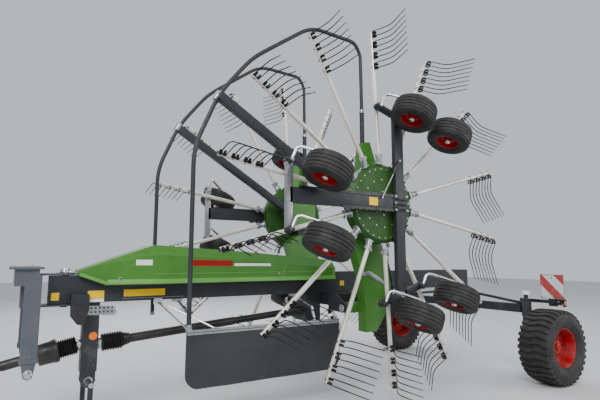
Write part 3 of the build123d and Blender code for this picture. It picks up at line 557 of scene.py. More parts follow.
def make_tines():
    """The double tines and their clamps on every arm."""
    tine, clamp = tine_template(), clamp_template()
    wires, clamps = gather(2)
    for outward, lead_dir, crop_dir in arm_frames():
        for pair in range(tine_pairs):
            reach = tip_radius - tine_end_gap - tine_spacing * (0.5 + 2 * pair)
            place = axes(arm_centre + outward * reach, lead_dir, crop_dir.cross(lead_dir), crop_dir)
            stamp(wires, tine, place)
            stamp(clamps, clamp, place)
    add_pair("double_tines", wires, "rotor", "tine_steel", ["tines"], sharp=60)
    add_pair("tine_clamps", clamps, "rotor", "galvanised")


# Hubs and their arm sockets: (radius, bolts, bolt size) of each ring, and the casting's sections as
# (distance out, distance in from the arm's axis, radius)
hub_bolt_rings = ((0.356, 28, 0.0066), (0.245, 14, 0.0070), (0.120, 8, 0.0060))
casting_sections = (
    (0.0, 0.020, 0.036), (0.014, 0.018, 0.036), (0.034, 0.008, 0.032), (0.052, 0.003, 0.031),
    (0.0695, 0.002, 0.033),
)


def make_hubs():
    """The dished disc with its rings of bolts, and the casting that holds each arm."""
    discs, bolts, castings = gather(3)
    boss_y = hub_outer_y + 0.008
    lathe(discs, [
        (hub_inner_y, hub_bore), (hub_inner_y, hub_radius - 0.110), (hub_inner_y + 0.055, hub_radius),
        (hub_outer_y - 0.030, hub_radius), (hub_outer_y, hub_radius - 0.034), (hub_outer_y, 0.100),
        (boss_y, 0.094), (boss_y, hub_bore),
    ], (rotor_x, 0, rotor_z), left, 84)
    for radius, count, size in hub_bolt_rings:
        for point in on_circle((rotor_x, -hub_outer_y, rotor_z), radius, count, radians(arm_phase)):
            bolt(bolts, point, size, 0.0065)
    half_flange = [(-0.046, -0.026), (-0.030, -0.033), (0.030, -0.033), (0.046, -0.026)]
    flange = half_flange + [(across, -down) for across, down in reversed(half_flange)]
    for outward, _, _ in arm_frames():
        root = arm_centre + outward * socket_start
        around = outward.cross(right)
        path = [root + outward * out + right * inward for out, inward, _ in casting_sections]
        tube(castings, path, [radius for _, _, radius in casting_sections])
        seat = root + right * 0.020
        prism(castings, flange, seat + outward * 0.005, around, left, 0.008)
        for end in (-1, 1):
            bolt(castings, seat + outward * 0.009 + around * (end * 0.040), 0.006, 0.006, outward)
        bolt(castings, root + outward * 0.053 + left * 0.028, 0.0065, 0.004)
    add_pair("hub_discs", discs, "rotor", "green_dark", ["rotor_hub"])
    add_pair("hub_bolts", bolts, "rotor", "galvanised")
    add_pair("arm_castings", castings, "rotor", "galvanised", ["arm_sockets"], bevel=0.0012)


# Guard hoops

guard_y, guard_radius, guard_tube = 0.600, 1.920, 0.0205
guard_front_x, guard_low_z, guard_shoulder_z = -1.440, 0.850, 2.420
guard_crown = (-0.190, 3.890)
guard_rear_x, guard_rear_top_z, guard_rear_low_z, guard_rear_corner = 0.480, 3.865, 3.060, 0.090
guard_carrier = 0.080
gearbox_half = 0.170


def make_guards():
    """The round hoop over each rotor, its sleeve on the gearbox, and the carrier with its clamps."""
    def on_hoop(angle):
        return rotor_x + guard_radius * cos(radians(angle)), rotor_z + guard_radius * sin(radians(angle))

    hoops, carriers, clamps = gather(3)
    hoop = [
        (guard_front_x, guard_low_z), (guard_front_x, guard_shoulder_z), on_hoop(150), on_hoop(134),
        on_hoop(119), guard_crown, (guard_rear_x - guard_rear_corner, guard_rear_top_z),
        (guard_rear_x - 0.010, guard_rear_top_z - guard_rear_corner * 1.4), (guard_rear_x, guard_rear_low_z),
    ]
    tube(hoops, rounded([(x, -guard_y, z) for x, z in hoop], 0.16, 8), guard_tube)
    sleeve_low, sleeve_top = rotor_z + gearbox_half + 0.001, guard_rear_low_z + 0.040
    stub(hoops, (guard_rear_x, -guard_y, sleeve_low), up * (sleeve_top - sleeve_low), 0.0265)
    stub(clamps, (guard_front_x, -guard_y, guard_low_z - 0.004), up * 0.034, 0.0235)
    gearbox_x = rotor_x - gearbox_half
    carrier_end = Vector((on_hoop(151)[0], -guard_y, on_hoop(151)[1]))
    carrier_start = (gearbox_x - 0.060, -guard_y - 0.050, rotor_z + 0.060)
    bar(carriers, carrier_start, carrier_end, guard_carrier, guard_carrier)
    seat_low = (gearbox_x - 0.110, -guard_y - 0.100, rotor_z - 0.020)
    box(carriers, seat_low, (gearbox_x - 0.0005, -guard_y + 0.010, rotor_z + 0.120))
    sleeve_clamp = Vector((guard_rear_x, -guard_y, sleeve_top - 0.030))
    ear_half = Vector((0.016, 0.008, 0.010))
    for point, along, half in ((carrier_end, Vector((0.45, 0, 0.89)), 0.045), (sleeve_clamp, up, 0.018)):
        stub(clamps, point - along * half, along * (2 * half), 0.031)
        for end in (-0.6, 0.6):
            ear = point + along * (half * end) + left * 0.029
            box(clamps, ear - ear_half, ear + ear_half)
            bolt(clamps, ear + left * ear_half.y, 0.008, 0.008)
    for x in (gearbox_x - 0.085, gearbox_x - 0.025):
        for z in (rotor_z + 0.010, rotor_z + 0.090):
            bolt(clamps, (x, -guard_y - 0.100, z), 0.010, 0.009)
    add_pair("guard_hoops", hoops, "carriage", "grey_paint", ["guard"])
    add_pair("guard_carriers", carriers, "carriage", "grey_paint", bevel=0.004)
    add_pair("guard_clamps", clamps, "carriage", "galvanised", bevel=0.001)


# Booms

boom_face_y, boom_pivot_y, boom_pivot_z, boom_pivot_half = 0.734, 0.565, 0.930, 0.2502
boom_band = [
    (0.338, 1.300), (0.430, 1.312), (0.570, 1.240), (0.640, 1.190), (0.640, 1.160), (0.560, 1.190),
    (0.430, 1.262), (0.347, 1.262),
]
pipe_start = (0.540, 1.732)
pipe_route = [(0.590, 1.700), (0.737, 1.340), (0.790, 1.100), (0.700, 0.970)]
pipe_near_y, pipe_spacing, pipe_radius = 0.704, 0.030, 0.0125


def make_boom_trim():
    """The boom's cast band and rigid pipes with clips, the pivot pins' heads, and the gearbox's covers."""
    bands, pipes, clips, heads, covers = gather(5)
    plate(bands, boom_band, -boom_face_y - film, 0.006)
    for step in range(3):
        pipe_y = pipe_spacing * step - pipe_near_y
        route = [pipe_start] + [(x + 0.006 * step, z) for x, z in pipe_route]
        tube(pipes, rounded([(x, pipe_y, z) for x, z in route], 0.09), pipe_radius, 14)
    for x, z in ((0.660, 1.480), (0.750, 1.160)):
        box(clips, (x - 0.030, -0.720, z - 0.014), (x + 0.055, -0.628, z + 0.014))
        bolt(clips, (x + 0.055, pipe_spacing - pipe_near_y, z), 0.007, 0.006, rear)
    for end in (-1, 1):
        seat = Vector((rotor_x + end * boom_pivot_half, -boom_pivot_y, boom_pivot_z))
        head = rear * (end * 0.012)
        stub(heads, seat, head, 0.036, 28)
        bolt(heads, seat + head, 0.013, 0.009, head)
    for x, z, radius in ((0.350, 2.330, 0.034), (0.505, 2.345, 0.026)):
        stub(covers, (x, -0.7452, z), left * 0.0118, radius, 28)
        for point in on_circle((x, -0.757, z), radius * 0.72, 5):
            bolt(heads, point, 0.0045, 0.004)
    add_pair("boom_bands", bands, "boom", "galvanised", bevel=0.0015)
    add_pair("boom_pipes", pipes, "boom", "black_plastic")
    add_pair("boom_clips", clips, "boom", "grey_paint", bevel=0.002)
    add_pair("pivot_heads", heads, "frame", "bright_steel")
    add_pair("gearbox_covers", covers, "carriage", "black_plastic", bevel=0.002)


# The rotors' running gear

post_x = rotor_x + 0.170
tandem_height, tandem_half, tandem_splay = 0.920, 0.270, radians(17)
tandem_reach, tandem_rise = tandem_half * cos(tandem_splay), tandem_half * sin(tandem_splay)
tandem_width, gear_beam_width, gear_post_width = 0.060, 0.145, 0.116
front_x, front_half = rotor_x - 1.150, 0.310
castor_pivots = {
    "upper_front": (post_x - tandem_reach, rotor_z + tandem_height + tandem_rise),
    "upper_rear": (post_x + tandem_reach, rotor_z + tandem_height - tandem_rise),
    "lower_front": (post_x - tandem_reach, rotor_z - tandem_height - tandem_rise),
    "lower_rear": (post_x + tandem_reach, rotor_z - tandem_height + tandem_rise),
    "lead_upper": (front_x, rotor_z + front_half),
    "lead_lower": (front_x, rotor_z - front_half),
}
strip_steps = 30


def make_running_gear():
    """The beam, post and tandem bars with their bosses, the bolted joint, rubber strips and the gas strut."""
    beams, lead, bosses, strips, fittings, strut = gather(6)
    middle_y, face = -gear_near_y - gear_depth / 2, -gear_far_y
    for bm, start, end, width in (
        (beams, (front_x, rotor_z), (post_x, rotor_z), gear_beam_width),
        (beams, (post_x, rotor_z - tandem_height), (post_x, rotor_z + tandem_height), gear_post_width),
        (beams, castor_pivots["upper_front"], castor_pivots["upper_rear"], tandem_width),
        (beams, castor_pivots["lower_front"], castor_pivots["lower_rear"], tandem_width),
        (lead, castor_pivots["lead_upper"], castor_pivots["lead_lower"], tandem_width),
    ):
        bar(bm, (start[0], middle_y, start[1]), (end[0], middle_y, end[1]), gear_depth, width)
    for x, z in castor_pivots.values():
        stub(bosses, (x, -gear_near_y, z), left * gear_depth, 0.034, 24)
    joint_start, joint_end, joint_half = post_x - 0.090, post_x + 0.085, 0.085
    joint_low = (joint_start, face - 0.009, rotor_z - joint_half)
    box(beams, joint_low, (joint_end, face - 0.0005, rotor_z + joint_half))
    for x in (joint_start + 0.018, joint_end - 0.014):
        for z in (rotor_z - joint_half + 0.018, rotor_z, rotor_z + joint_half - 0.018):
            bolt(fittings, (x, face - 0.009, z), 0.011, 0.010)
    for z in (rotor_z - 0.050, rotor_z, rotor_z + 0.050):
        rib = rectangle((post_x - 0.068, z - 0.013), (post_x + 0.072, z + 0.013))
        plate(bosses, rib, face - 0.0095, 0.018)
    for z in (rotor_z + tandem_height, rotor_z - tandem_height):
        stub(fittings, (post_x, face, z), left * 0.005, 0.030, 24)
        bolt(fittings, (post_x, face - 0.005, z), 0.015, 0.006)
    upper, lower = rotor_z + gear_beam_width / 2, rotor_z - gear_beam_width / 2
    strip_start, strip_middle, strip_end = front_x + 0.090, front_x + 0.580, post_x - 0.100
    step_length = (strip_end - strip_middle) / strip_steps
    cuts = [strip_middle + step_length * step for step in range(strip_steps + 1)]
    ragged = [(x, lower - 0.015 - 0.009 * sin(57 * x) * sin(131 * x)) for x in cuts]
    plate(strips, rectangle((strip_start, upper - 0.012), (strip_end, upper + 0.016)), face - 0.0005, 0.005)
    plate(strips, [(strip_end, lower + 0.012), (strip_middle, lower + 0.012)] + ragged, face - 0.0005, 0.005)
    low = Vector((front_x + 1.060, face - 0.016, upper - 0.030))
    high = Vector((post_x - 0.012, face - 0.016, rotor_z + 0.445))
    tube(fittings, [low, low.lerp(high, 0.66)], 0.006, 14)
    tube(strut, [low.lerp(high, part) for part in (0.62, 0.63, 0.97, 0.98)], [0.008, 0.012, 0.012, 0.007], 16)
    for point in (low, high):
        stub(fittings, point + right * 0.016, left * 0.026, 0.009, 14)
    add_pair("gear_beams", beams, "carriage", "grey_paint", ["running_gear"], bevel=0.004)
    add_pair("gear_lead_bar", lead, "carriage", "galvanised", bevel=0.004)
    add_pair("gear_bosses", bosses, "carriage", "grey_paint", bevel=0.002)
    add_pair("gear_strips", strips, "carriage", "black_plastic")
    add_pair("gear_fittings", fittings, "carriage", "galvanised")
    add_pair("gear_struts", strut, "carriage", "black_plastic")


# Castors: half a small tyre's section outside its tread as (share of the half width, radius)

tyre_shoulder = [(0.76, small_rim_radius + 0.001), (0.93, 0.128), (1.0, 0.165), (0.96, 0.195), (0.80, 0.214)]
rib_share, groove_share = 0.27, 0.06
cap_dome = [(0, 0.002), (0, 0.030), (-0.010, 0.0295), (-0.018, 0.025), (-0.023, 0.015), (-0.025, 0.002)]


def small_tyre_profile():
    """A ribbed implement tyre's section (across, radius), from one bead to the other."""
    half, top = small_tyre_width / 2, small_tyre_radius
    ribs = [(groove_share / 2, top - 0.010)]
    for index in range(2):
        inner = (index + 0.5) * (rib_share + groove_share) - rib_share / 2
        outer = inner + rib_share
        ribs += [(inner, top - 0.0015 * index), (inner + rib_share * 0.98, top - 0.001 - 0.003 * index)]
        ribs += [(outer, top - 0.010), (outer + groove_share * 0.9, top - 0.011)]
    tread = [(share, radius) for share, radius in ribs if share < 0.78]
    one_side = [(share * half, radius) for share, radius in tyre_shoulder + tread[::-1]]
    return one_side + [(-across, radius) for across, radius in reversed(one_side)]


def make_wheel_templates():
    """Tyre, rim and cap of a small wheel about the Y axis at its centre."""
    tyre, rim, cap = gather(3)
    centre, half, bead = (0, 0, 0), small_rim_half, small_rim_radius + 0.004
    lathe(tyre, small_tyre_profile() + [(-0.05, bead), (0.05, bead)], centre, right, 48)
    lathe(rim, [
        (-half - 0.018, 0.112), (-half - 0.010, 0.103), (-half + 0.012, 0.098), (-0.030, 0.090),
        (-0.018, 0.060), (-0.030, 0.044), (-half, 0.036), (-half, 0.0145), (half, 0.0145), (half, 0.036),
        (0.020, 0.044), (0.008, 0.060), (0.018, 0.090), (half - 0.012, 0.098), (half + 0.010, 0.103),
        (half + 0.018, 0.112), (half, 0.1085), (-half, 0.1085),
    ], centre, right, 48)
    for point in on_circle((0, -0.024, 0), 0.062, 5):
        bolt(cap, point, 0.008, 0.008)
    lathe(cap, [(across - half, radius) for across, radius in cap_dome], centre, right, 24)
    return as_mesh(tyre, "small_tyre"), as_mesh(rim, "small_rim"), as_mesh(cap, "small_cap")


def make_castors():
    """Each castor's bent bar, spindles and bracket, and its wheel."""
    tyre, rim, cap = make_wheel_templates()
    trail_dir = Vector((cos(castor_angle), 0, -sin(castor_angle)))
    low_z, axle_z = gear_far_y + 0.040, ground_y - small_tyre_radius
    bar_z = low_z - castor_bar_radius
    bar_path = [
        (0, 0, bar_z), (0, castor_bar_offset, bar_z), (castor_trail, castor_bar_offset, axle_z),
        (castor_trail, 0.050, axle_z),
    ]
    for name, (pivot_x, pivot_z) in castor_pivots.items():
        place = axes(Vector((pivot_x, 0, pivot_z)), trail_dir, left.cross(trail_dir), left)
        bars, spindles, brackets = gather(3)
        tube(bars, rounded(bar_path, 0.07, 8), castor_bar_radius, 14)
        tube(spindles, [(0, 0, gear_near_y - 0.004), (0, 0, low_z)], 0.0195)
        tube(spindles, [(0, 0, gear_near_y - 0.010), (0, 0, gear_near_y - 0.002)], 0.030)
        tube(spindles, [(castor_trail, -0.060, axle_z), (castor_trail, castor_bar_offset, axle_z)], 0.014, 16)
        tube(brackets, [(0, 0, gear_far_y + 0.004), (0, 0, low_z - 0.004)], 0.030, 16)
        castor, wheel = f"castor_{name}", f"castor_wheel_{name}"
        for piece, bm, finish, covers in (
            ("castor_bar", bars, "bright_steel", [castor]),
            ("castor_spindle", spindles, "bright_steel", []),
            ("castor_bracket", brackets, "grey_paint", []),
        ):
            bmesh.ops.transform(bm, matrix=place, verts=bm.verts)
            add_pair(f"{piece}_{name}", bm, castor, finish, covers)
        wheel_place = place @ Matrix.Translation((castor_trail, 0, axle_z))
        for piece, template, finish, covers in (
            ("castor_tyre", tyre, "tyre", [wheel]),
            ("castor_rim", rim, "red_paint", []),
            ("castor_cap", cap, "bright_steel", []),
        ):
            bm = bmesh.new()
            stamp(bm, template, wheel_place)
            add_pair(f"{piece}_{name}", bm, wheel, finish, covers)


# Drive shaft: (share of the bellows' length, radius) of the front cone

shaft_yoke = Vector((-3.125, 0, 0.520))
shaft_front_end = shaft_yoke + rear * 0.080
journal_front, journal_rear = Vector((-2.226, 0, 0.700)), Vector((-2.034, 0, 0.700))
shaft_rear_end, shaft_rear = Vector((0.010, 0, 0.870)), Vector((0.040, 0, 0.870))
bellows_length, bellows_folds, bellows_radius, fold_depth = 0.180, 8, 0.072, 0.0075
cone = [
    (0.79, 0.050), (0.80, 0.088), (0.86, 0.097), (1.02, 0.097), (1.06, 0.091), (1.62, 0.086),
    (1.68, 0.078), (1.70, 0.046),
]
guard_tube_radius, inner_tube_radius = 0.041, 0.036


def bellows_section(start, end):
    """A bellows' outline between two places along a shaft: folds that swell and pinch."""
    steps = bellows_folds * 6
    section = []
    for step in range(steps + 1):
        part = step / steps
        radius = bellows_radius - fold_depth * cos(2 * pi * bellows_folds * part)
        section.append((start + (end - start) * part, radius))
    return section


def make_drive_shaft():
    """Guard tubes, cones and bellows, the journal in the stand post, and the yoke with its open bore."""
    guards, metal = gather(2)
    ahead, behind = shaft_front_end - journal_front, shaft_rear_end - journal_rear
    length = ahead.length
    revolve_along(guards, journal_front, ahead, bellows_section(0.004, bellows_length * 0.78))
    revolve_along(guards, journal_front, ahead, [(share * bellows_length, radius) for share, radius in cone])
    revolve_along(guards, journal_front, ahead, [
        (cone[-1][0] * bellows_length, guard_tube_radius), (0.560, guard_tube_radius),
        (0.562, inner_tube_radius), (length - 0.050, inner_tube_radius), (length - 0.048, 0.0405),
        (length, 0.0405),
    ])
    revolve_along(guards, journal_rear, behind, bellows_section(0.004, bellows_length * 0.98))
    length = behind.length
    rear_tube = [(0.98 * bellows_length, 0.060)]
    for fold in range(4):
        along, radius = 0.183 + 0.018 * fold, 0.066 - 0.005 * fold
        rear_tube += [(along, radius), (along + 0.009, radius - 0.010)]
    revolve_along(guards, journal_rear, behind, rear_tube + [
        (0.252, guard_tube_radius), (length * 0.62, guard_tube_radius), (length * 0.622, inner_tube_radius),
        (length - 0.160, inner_tube_radius), (length - 0.130, 0.052), (length, 0.060),
    ])
    tube(metal, [journal_front - rear * 0.002, journal_rear + rear * 0.002], 0.0298, 28)
    for end in (-1, 1):
        collar = (journal_front + journal_rear) / 2 + rear * (end * 0.076)
        stub(metal, collar, rear * (end * 0.012), 0.052, 28)
    tube(metal, [shaft_rear_end - rear * 0.004, shaft_rear], 0.0295, 24)
    lathe(metal, [
        (0.0, 0.0178), (0.0, 0.030), (0.004, 0.034), (0.022, 0.034), (0.026, 0.0375), (0.040, 0.0375),
        (0.044, 0.033), (0.104, 0.033), (0.104, 0.030), (0.080, 0.0178),
    ], shaft_yoke, rear, 36)
    add_piece("drive_shaft_guards", guards, "frame", "black_plastic", ["drive_shaft"])
    add_piece("drive_shaft_metal", metal, "frame", "bright_steel")


# Road wheels: (across, radius) of half the tyre's carcass, and (along, radius) of the rim

wheel_centre = Vector((2.700, -1.305, 0.425))
tyre_bead, tread_radius, rib_top = 0.2225, 0.407, 0.4245
rib_count, rib_reach, rib_wave, rib_wave_length, rib_sink = 34, 0.176, 0.013, 0.24, 0.006
carcass = [
    (0.148, tyre_bead), (0.162, 0.236), (0.180, 0.268), (0.1895, 0.305), (0.1890, 0.335), (0.181, 0.366),
    (0.166, 0.388), (0.140, 0.400), (0.100, 0.4045), (0.050, 0.4065),
]
sidewall_ring = [(0.1865, 0.283), (0.1895, 0.286)]
rim_profile = [
    (0.152, 0.2215), (0.152, 0.214), (0.138, 0.204), (0.085, 0.200), (0.060, 0.192), (0.026, 0.184),
    (0.014, 0.160), (0.012, 0.090), (0.020, 0.074), (0.062, 0.070), (0.062, 0.0315), (-0.050, 0.0315),
    (-0.050, 0.070), (0.002, 0.076), (0.004, 0.150), (0.014, 0.188), (-0.100, 0.198), (-0.138, 0.204),
    (-0.152, 0.214), (-0.152, 0.2215), (-0.120, 0.2175), (0.120, 0.2175),
]
hub_cap = [(0.060, 0.046), (0.074, 0.046), (0.080, 0.040), (0.084, 0.026), (0.085, 0.010)]


def carcass_radius(across):
    """The carcass's radius under the tread, this far from its middle."""
    points = carcass[::-1]
    for (near, high), (far, low) in zip(points, points[1:]):
        if near <= across <= far:
            return high + (low - high) * (across - near) / (far - near)
    return tread_radius


def make_tread_ribs(bm):
    """Wavy ribs that run across the tread from shoulder to shoulder, with sloping flanks."""
    for start in turns(rib_count):
        rings = []
        for cut in range(17):
            across = rib_reach * (cut / 8 - 1)
            sideways = rib_wave * sin(2 * pi * across / rib_wave_length)
            base = carcass_radius(abs(across))
            foot, top = base - rib_sink, rib_top - (tread_radius - base) * 0.55
            ring = []
            for width, radius in ((-0.027, foot), (-0.019, top), (0.019, top), (0.027, foot)):
                turn = start + (sideways + width) / tread_radius
                ring.append(wheel_centre + Vector((radius * cos(turn), across, radius * sin(turn))))
            rings.append(ring)
        skin(bm, rings)


def make_road_wheels():
    """Tyre with tread ribs and sidewall rings, the dished rim, its nuts, hub cap and valve."""
    tyres, ribs, rims, nuts = gather(4)
    outside = carcass[:3] + sidewall_ring + carcass[3:]
    section = outside + [(-across, radius) for across, radius in reversed(outside)]
    lathe(tyres, section, wheel_centre, left, 96)
    make_tread_ribs(ribs)
    lathe(rims, rim_profile, wheel_centre, left, 72)
    for point in on_circle(wheel_centre + left * 0.012, 0.118, 8, 0.2):
        bolt(nuts, point, 0.015, 0.018)
    revolve_along(nuts, wheel_centre, left, hub_cap, 32)
    stub(nuts, wheel_centre + Vector((0.165, -0.020, 0)), Vector((0.006, -0.045, 0)), 0.005, 10)
    add_pair("road_tyre_carcass", tyres, "road_wheel", "tyre", ["road_tyre"], sharp=50)
    add_pair("road_tyre_ribs", ribs, "road_wheel", "tyre", bevel=0.0022)
    add_pair("road_rims", rims, "road_wheel", "red_paint", ["road_rim"])
    add_pair("road_wheel_nuts", nuts, "road_wheel", "red_paint")


# Hood trim: outlines of the side stripes as (x, z), and the edge flange's section as (out, z)

hood_side_y, hood_tip_y = 0.250, 0.150
hood_tip_x, hood_shoulder_x, hood_rear_x = -2.260, -1.640, 0.344
nose_along = Vector((hood_shoulder_x - hood_tip_x, hood_tip_y - hood_side_y, 0)).normalized()
nose_out = Vector((nose_along.y, -nose_along.x, 0))
red_stripe = [(-1.318, 1.369), (-0.900, 1.366), (-0.893, 1.420), (-1.306, 1.424)]
white_stripe = [(-0.880, 1.366), (-0.469, 1.363), (-0.476, 1.388), (-0.874, 1.392)]
hood_seam = [(-0.347, 1.214), (-0.338, 1.214), (-0.284, 1.384), (-0.293, 1.384)]
# The crease is a thin strip in the lighter green: a painted highlight along it
hood_crease_highlight = [(hood_shoulder_x, 1.2975), (0.310, 1.3005), (0.310, 1.3065), (hood_shoulder_x, 1.3035)]
hood_flange = [(0.004, 1.262), (-0.015, 1.226), (-0.015, 1.2135), (0.004, 1.2100)]


def make_hood_trim():
    """Stripes along the sides, the nose's blank plate, the seam, crease and edge flange in a lighter green
    that is painted highlight, and the latch.
    """
    red, white, edges, latches, bolts = gather(5)
    side = -hood_side_y - film
    plate(red, red_stripe, side, 0.001)
    plate(white, white_stripe, side, 0.001)
    prism(white, centred(0.140, 0.048), (-1.740, -0.2345, 1.402), nose_along, up, 0.001)
    # The seam, rear strip, flanges, nose bar and crease below are drawn in the lighter green: painted
    # highlight
    plate(edges, hood_seam, side, 0.0022)
    bolt(bolts, (-0.370, side, 1.285), 0.008, 0.006)
    plate(edges, rectangle((0.312, 1.214), (0.342, 1.335)), side, 0.0025)
    flange_middle = ((hood_shoulder_x + hood_rear_x) / 2, -hood_side_y, 0)
    prism(edges, hood_flange, flange_middle, right, up, hood_rear_x - hood_shoulder_x)
    prism(edges, hood_flange, (-1.836, -hood_side_y + 0.0316, 0), -nose_out, up, 0.399)
    bar(edges, (-2.030, -0.190, 1.222), (-2.252, -0.154, 1.304), 0.006, 0.028, -nose_out)
    plate(edges, hood_crease_highlight, side, 0.0016)
    latch = Vector((-1.930, -0.2030, 1.262))
    stub(bolts, latch, nose_out * 0.010, 0.016, 24)
    stub(latches, latch + nose_out * 0.010, nose_out * 0.004, 0.008, 6)
    add_pair("hood_red_stripe", red, "frame", "red_paint")
    add_pair("hood_white_stripe", white, "frame", "white_sheet")
    # The lighter green of the edges is painted highlight
    add_pair("hood_edges_painted_highlight", edges, "frame", "green_painted_highlight")
    add_pair("hood_seams", latches, "frame", "black_plastic")
    add_pair("hood_bolts", bolts, "frame", "galvanised")


# Beam trim: low and high (x, z) corners of the yellow stickers

beam_side_y = 0.100
beam_stickers = (
    ((-2.455, 1.088), (-2.395, 1.152)), ((-2.174, 1.092), (-2.042, 1.159)),
    ((-1.878, 1.100), (-1.509, 1.161)), ((0.520, 1.130), (0.580, 1.185)),
)
sticker_thickness = 0.0008
rail_start, rail_end, rail_low_z, rail_high_z = -1.890, -1.336, 1.0625, 1.080
tooth_count, tooth_spacing, tooth_width = 18, 0.031, 0.016
chock_outline = [
    (-2.310, 1.142), (-2.165, 1.134), (-2.162, 1.010), (-2.200, 0.880), (-2.250, 0.884), (-2.306, 0.955),
]
chock_top_outline = [(-2.302, 1.138), (-2.172, 1.131), (-2.176, 1.075), (-2.240, 1.045), (-2.294, 1.078)]


def make_beam_trim():
    """Blank stickers on the beam and the gear, the slotted rail with a bright metal strip along its top edge
    as painted highlight, and the chock.
    """
    yellow, white, rails, chock, chock_top, clips, gear_sticker = gather(7)
    side = -beam_side_y - film
    for low, high in beam_stickers:
        plate(yellow, rectangle(low, high), side, sticker_thickness)
    plate(white, rectangle((-2.174, 1.063), (-2.042, 1.090)), side, sticker_thickness)
    plate(rails, rectangle((rail_start, rail_low_z), (rail_end, rail_high_z)), side, 0.004)
    for step in range(tooth_count):
        x = rail_start + 0.010 + tooth_spacing * step
        plate(rails, rectangle((x, rail_low_z), (x + tooth_width, rail_high_z)), side - 0.004, 0.008)
    # The strip of bright metal along the rail's top edge is a painted highlight
    plate(clips, rectangle((rail_start, rail_high_z + film), (rail_end, 1.0835)), side, 0.006)
    plate(chock, chock_outline, -0.104, 0.060)
    plate(chock_top, chock_top_outline, -0.1642, 0.008)
    plate(gear_sticker, rectangle((0.205, 1.962), (0.315, 2.040)), -gear_far_y - film, sticker_thickness)
    add_piece("beam_stickers", yellow, "frame", "yellow_sheet")
    add_piece("beam_white_sticker", white, "frame", "white_sheet")
    add_piece("beam_slotted_rail", rails, "frame", "black_plastic")
    # Bright strip along the rail: painted highlight
    add_piece("beam_rail_painted_highlight", clips, "frame", "galvanised")
    add_piece("wheel_chock", chock, "frame", "black_plastic", bevel=0.008)
    add_piece("wheel_chock_top", chock_top, "frame", "grey_paint", bevel=0.003, slot="black_plastic")
    add_pair("gear_stickers", gear_sticker, "carriage", "yellow_sheet")


# Swath curtain

curtain_y, curtain_front_x, curtain_length = 0.480, -1.420, 1.640
curtain_top_z, curtain_low_z, curtain_corner, curtain_thickness = 0.790, 0.310, 0.130, 0.0024
curtain_columns, curtain_rows = 96, 24


def curtain_low_at(along):
    """The height of the curtain's lower edge, this far from its front end, rounded at both corners."""
    from_end = min(along, curtain_length - along)
    if from_end >= curtain_corner:
        return curtain_low_z
    inward = curtain_corner - from_end
    return curtain_low_z + curtain_corner - (curtain_corner ** 2 - inward ** 2) ** 0.5


def curtain_point(along, drop, face):
    """A place on the slack cloth, this far along it, this share of its height down, half off its middle."""
    sway = 0.0045 * drop * (sin(9.5 * along + 0.6) + 0.5 * sin(21 * along + 2.1 * drop))
    sag = 0.0022 * sin(pi * drop) * sin(33 * along + 3.0 * drop)
    z = curtain_top_z + (curtain_low_at(along) - curtain_top_z) * drop
    return curtain_front_x + along, -curtain_y + sway + sag + face * curtain_thickness, z


def make_curtain():
    """A rubberised cloth hung from its rail in slack waves, with rounded lower corners."""
    columns, rows = curtain_columns, curtain_rows
    cloth = bmesh.new()
    grids = []
    for face in (-0.5, 0.5):
        grid = []
        for column in range(columns + 1):
            along = curtain_length * (1 - cos(pi * column / columns)) / 2
            grid.append([cloth.verts.new(curtain_point(along, row / rows, face)) for row in range(rows + 1)])
        grids.append(grid)
    near, far = grids
    for grid in grids:
        for first, second in zip(grid, grid[1:]):
            for row in range(rows):
                cloth.faces.new((first[row], first[row + 1], second[row + 1], second[row]))
    for column in range(columns):
        for row in (0, rows):
            corners = near[column][row], near[column + 1][row], far[column + 1][row], far[column][row]
            cloth.faces.new(corners)
    for column in (0, columns):
        for row in range(rows):
            corners = near[column][row], near[column][row + 1], far[column][row + 1], far[column][row]
            cloth.faces.new(corners)
    piece = add_piece("swath_cloth", cloth, "frame", "curtain_cloth", ["curtain"], sharp=60)


brace_x, brace_feet_x, clamp_half = -1.577, (-1.400, -1.160), 0.0018


def make_curtain_fittings():
    """The clamp strips that hold the cloth, with their bolts, and the two flat braces from the beam."""
    clamp, brackets = gather(2)
    clamp_start, clamp_end = curtain_front_x + 0.010, curtain_front_x + curtain_length - 0.010
    for y in (-curtain_y - 0.0048, -curtain_y + 0.0048):
        low = (clamp_start, y - clamp_half, curtain_top_z - 0.018)
        box(clamp, low, (clamp_end, y + clamp_half, curtain_top_z - 0.001))
    for step in range(10):
        x = curtain_front_x + 0.070 + step * (curtain_length - 0.140) / 9
        bolt(clamp, (x, -curtain_y - 0.0066, curtain_top_z - 0.0095), 0.006, 0.005)
    top = Vector((brace_x, -0.105, 1.045))
    for foot_x in brace_feet_x:
        foot = Vector((foot_x, -curtain_y + 0.020, 0.818))
        heading = foot - top
        across = heading.cross(Vector((0, 0.45, 1))).cross(heading).normalized()
        bar(brackets, top, foot, 0.028, 0.007, heading.cross(across).normalized())
        box(brackets, foot - Vector((0.020, 0.022, 0.006)), foot + Vector((0.020, 0.010, 0.006)))
    box(brackets, (brace_x - 0.035, -0.118, 1.020), (brace_x + 0.035, -0.0995, 1.075))
    for x in (brace_x - 0.022, brace_x + 0.022):
        bolt(brackets, (x, -0.118, 1.060), 0.007, 0.006)
    add_piece("curtain_clamps", clamp, "frame", "galvanised")
    add_piece("curtain_braces", brackets, "frame", "bright_steel", bevel=0.001)


# Headstock and stand trim: sections as (along, radius)

headstock_x, headstock_half, hitch_pin_z = -2.600, 0.400, 0.590
swivel = Vector((-2.350, 0, 1.3125))
swivel_cap = [(0, 0.046), (0.010, 0.046), (0.014, 0.040), (0.040, 0.034)]
stand_face_y, stand_x, stand_pivot_z = -0.0602, -2.130, 0.400
strip_outline = [(-2.186, 0.952), (-1.945, 0.940), (-1.925, 0.960), (-1.945, 1.020), (-2.186, 1.032)]
reflector_lens = [(0.004, 0.035), (0.007, 0.034), (0.0085, 0.028), (0.009, 0.012)]


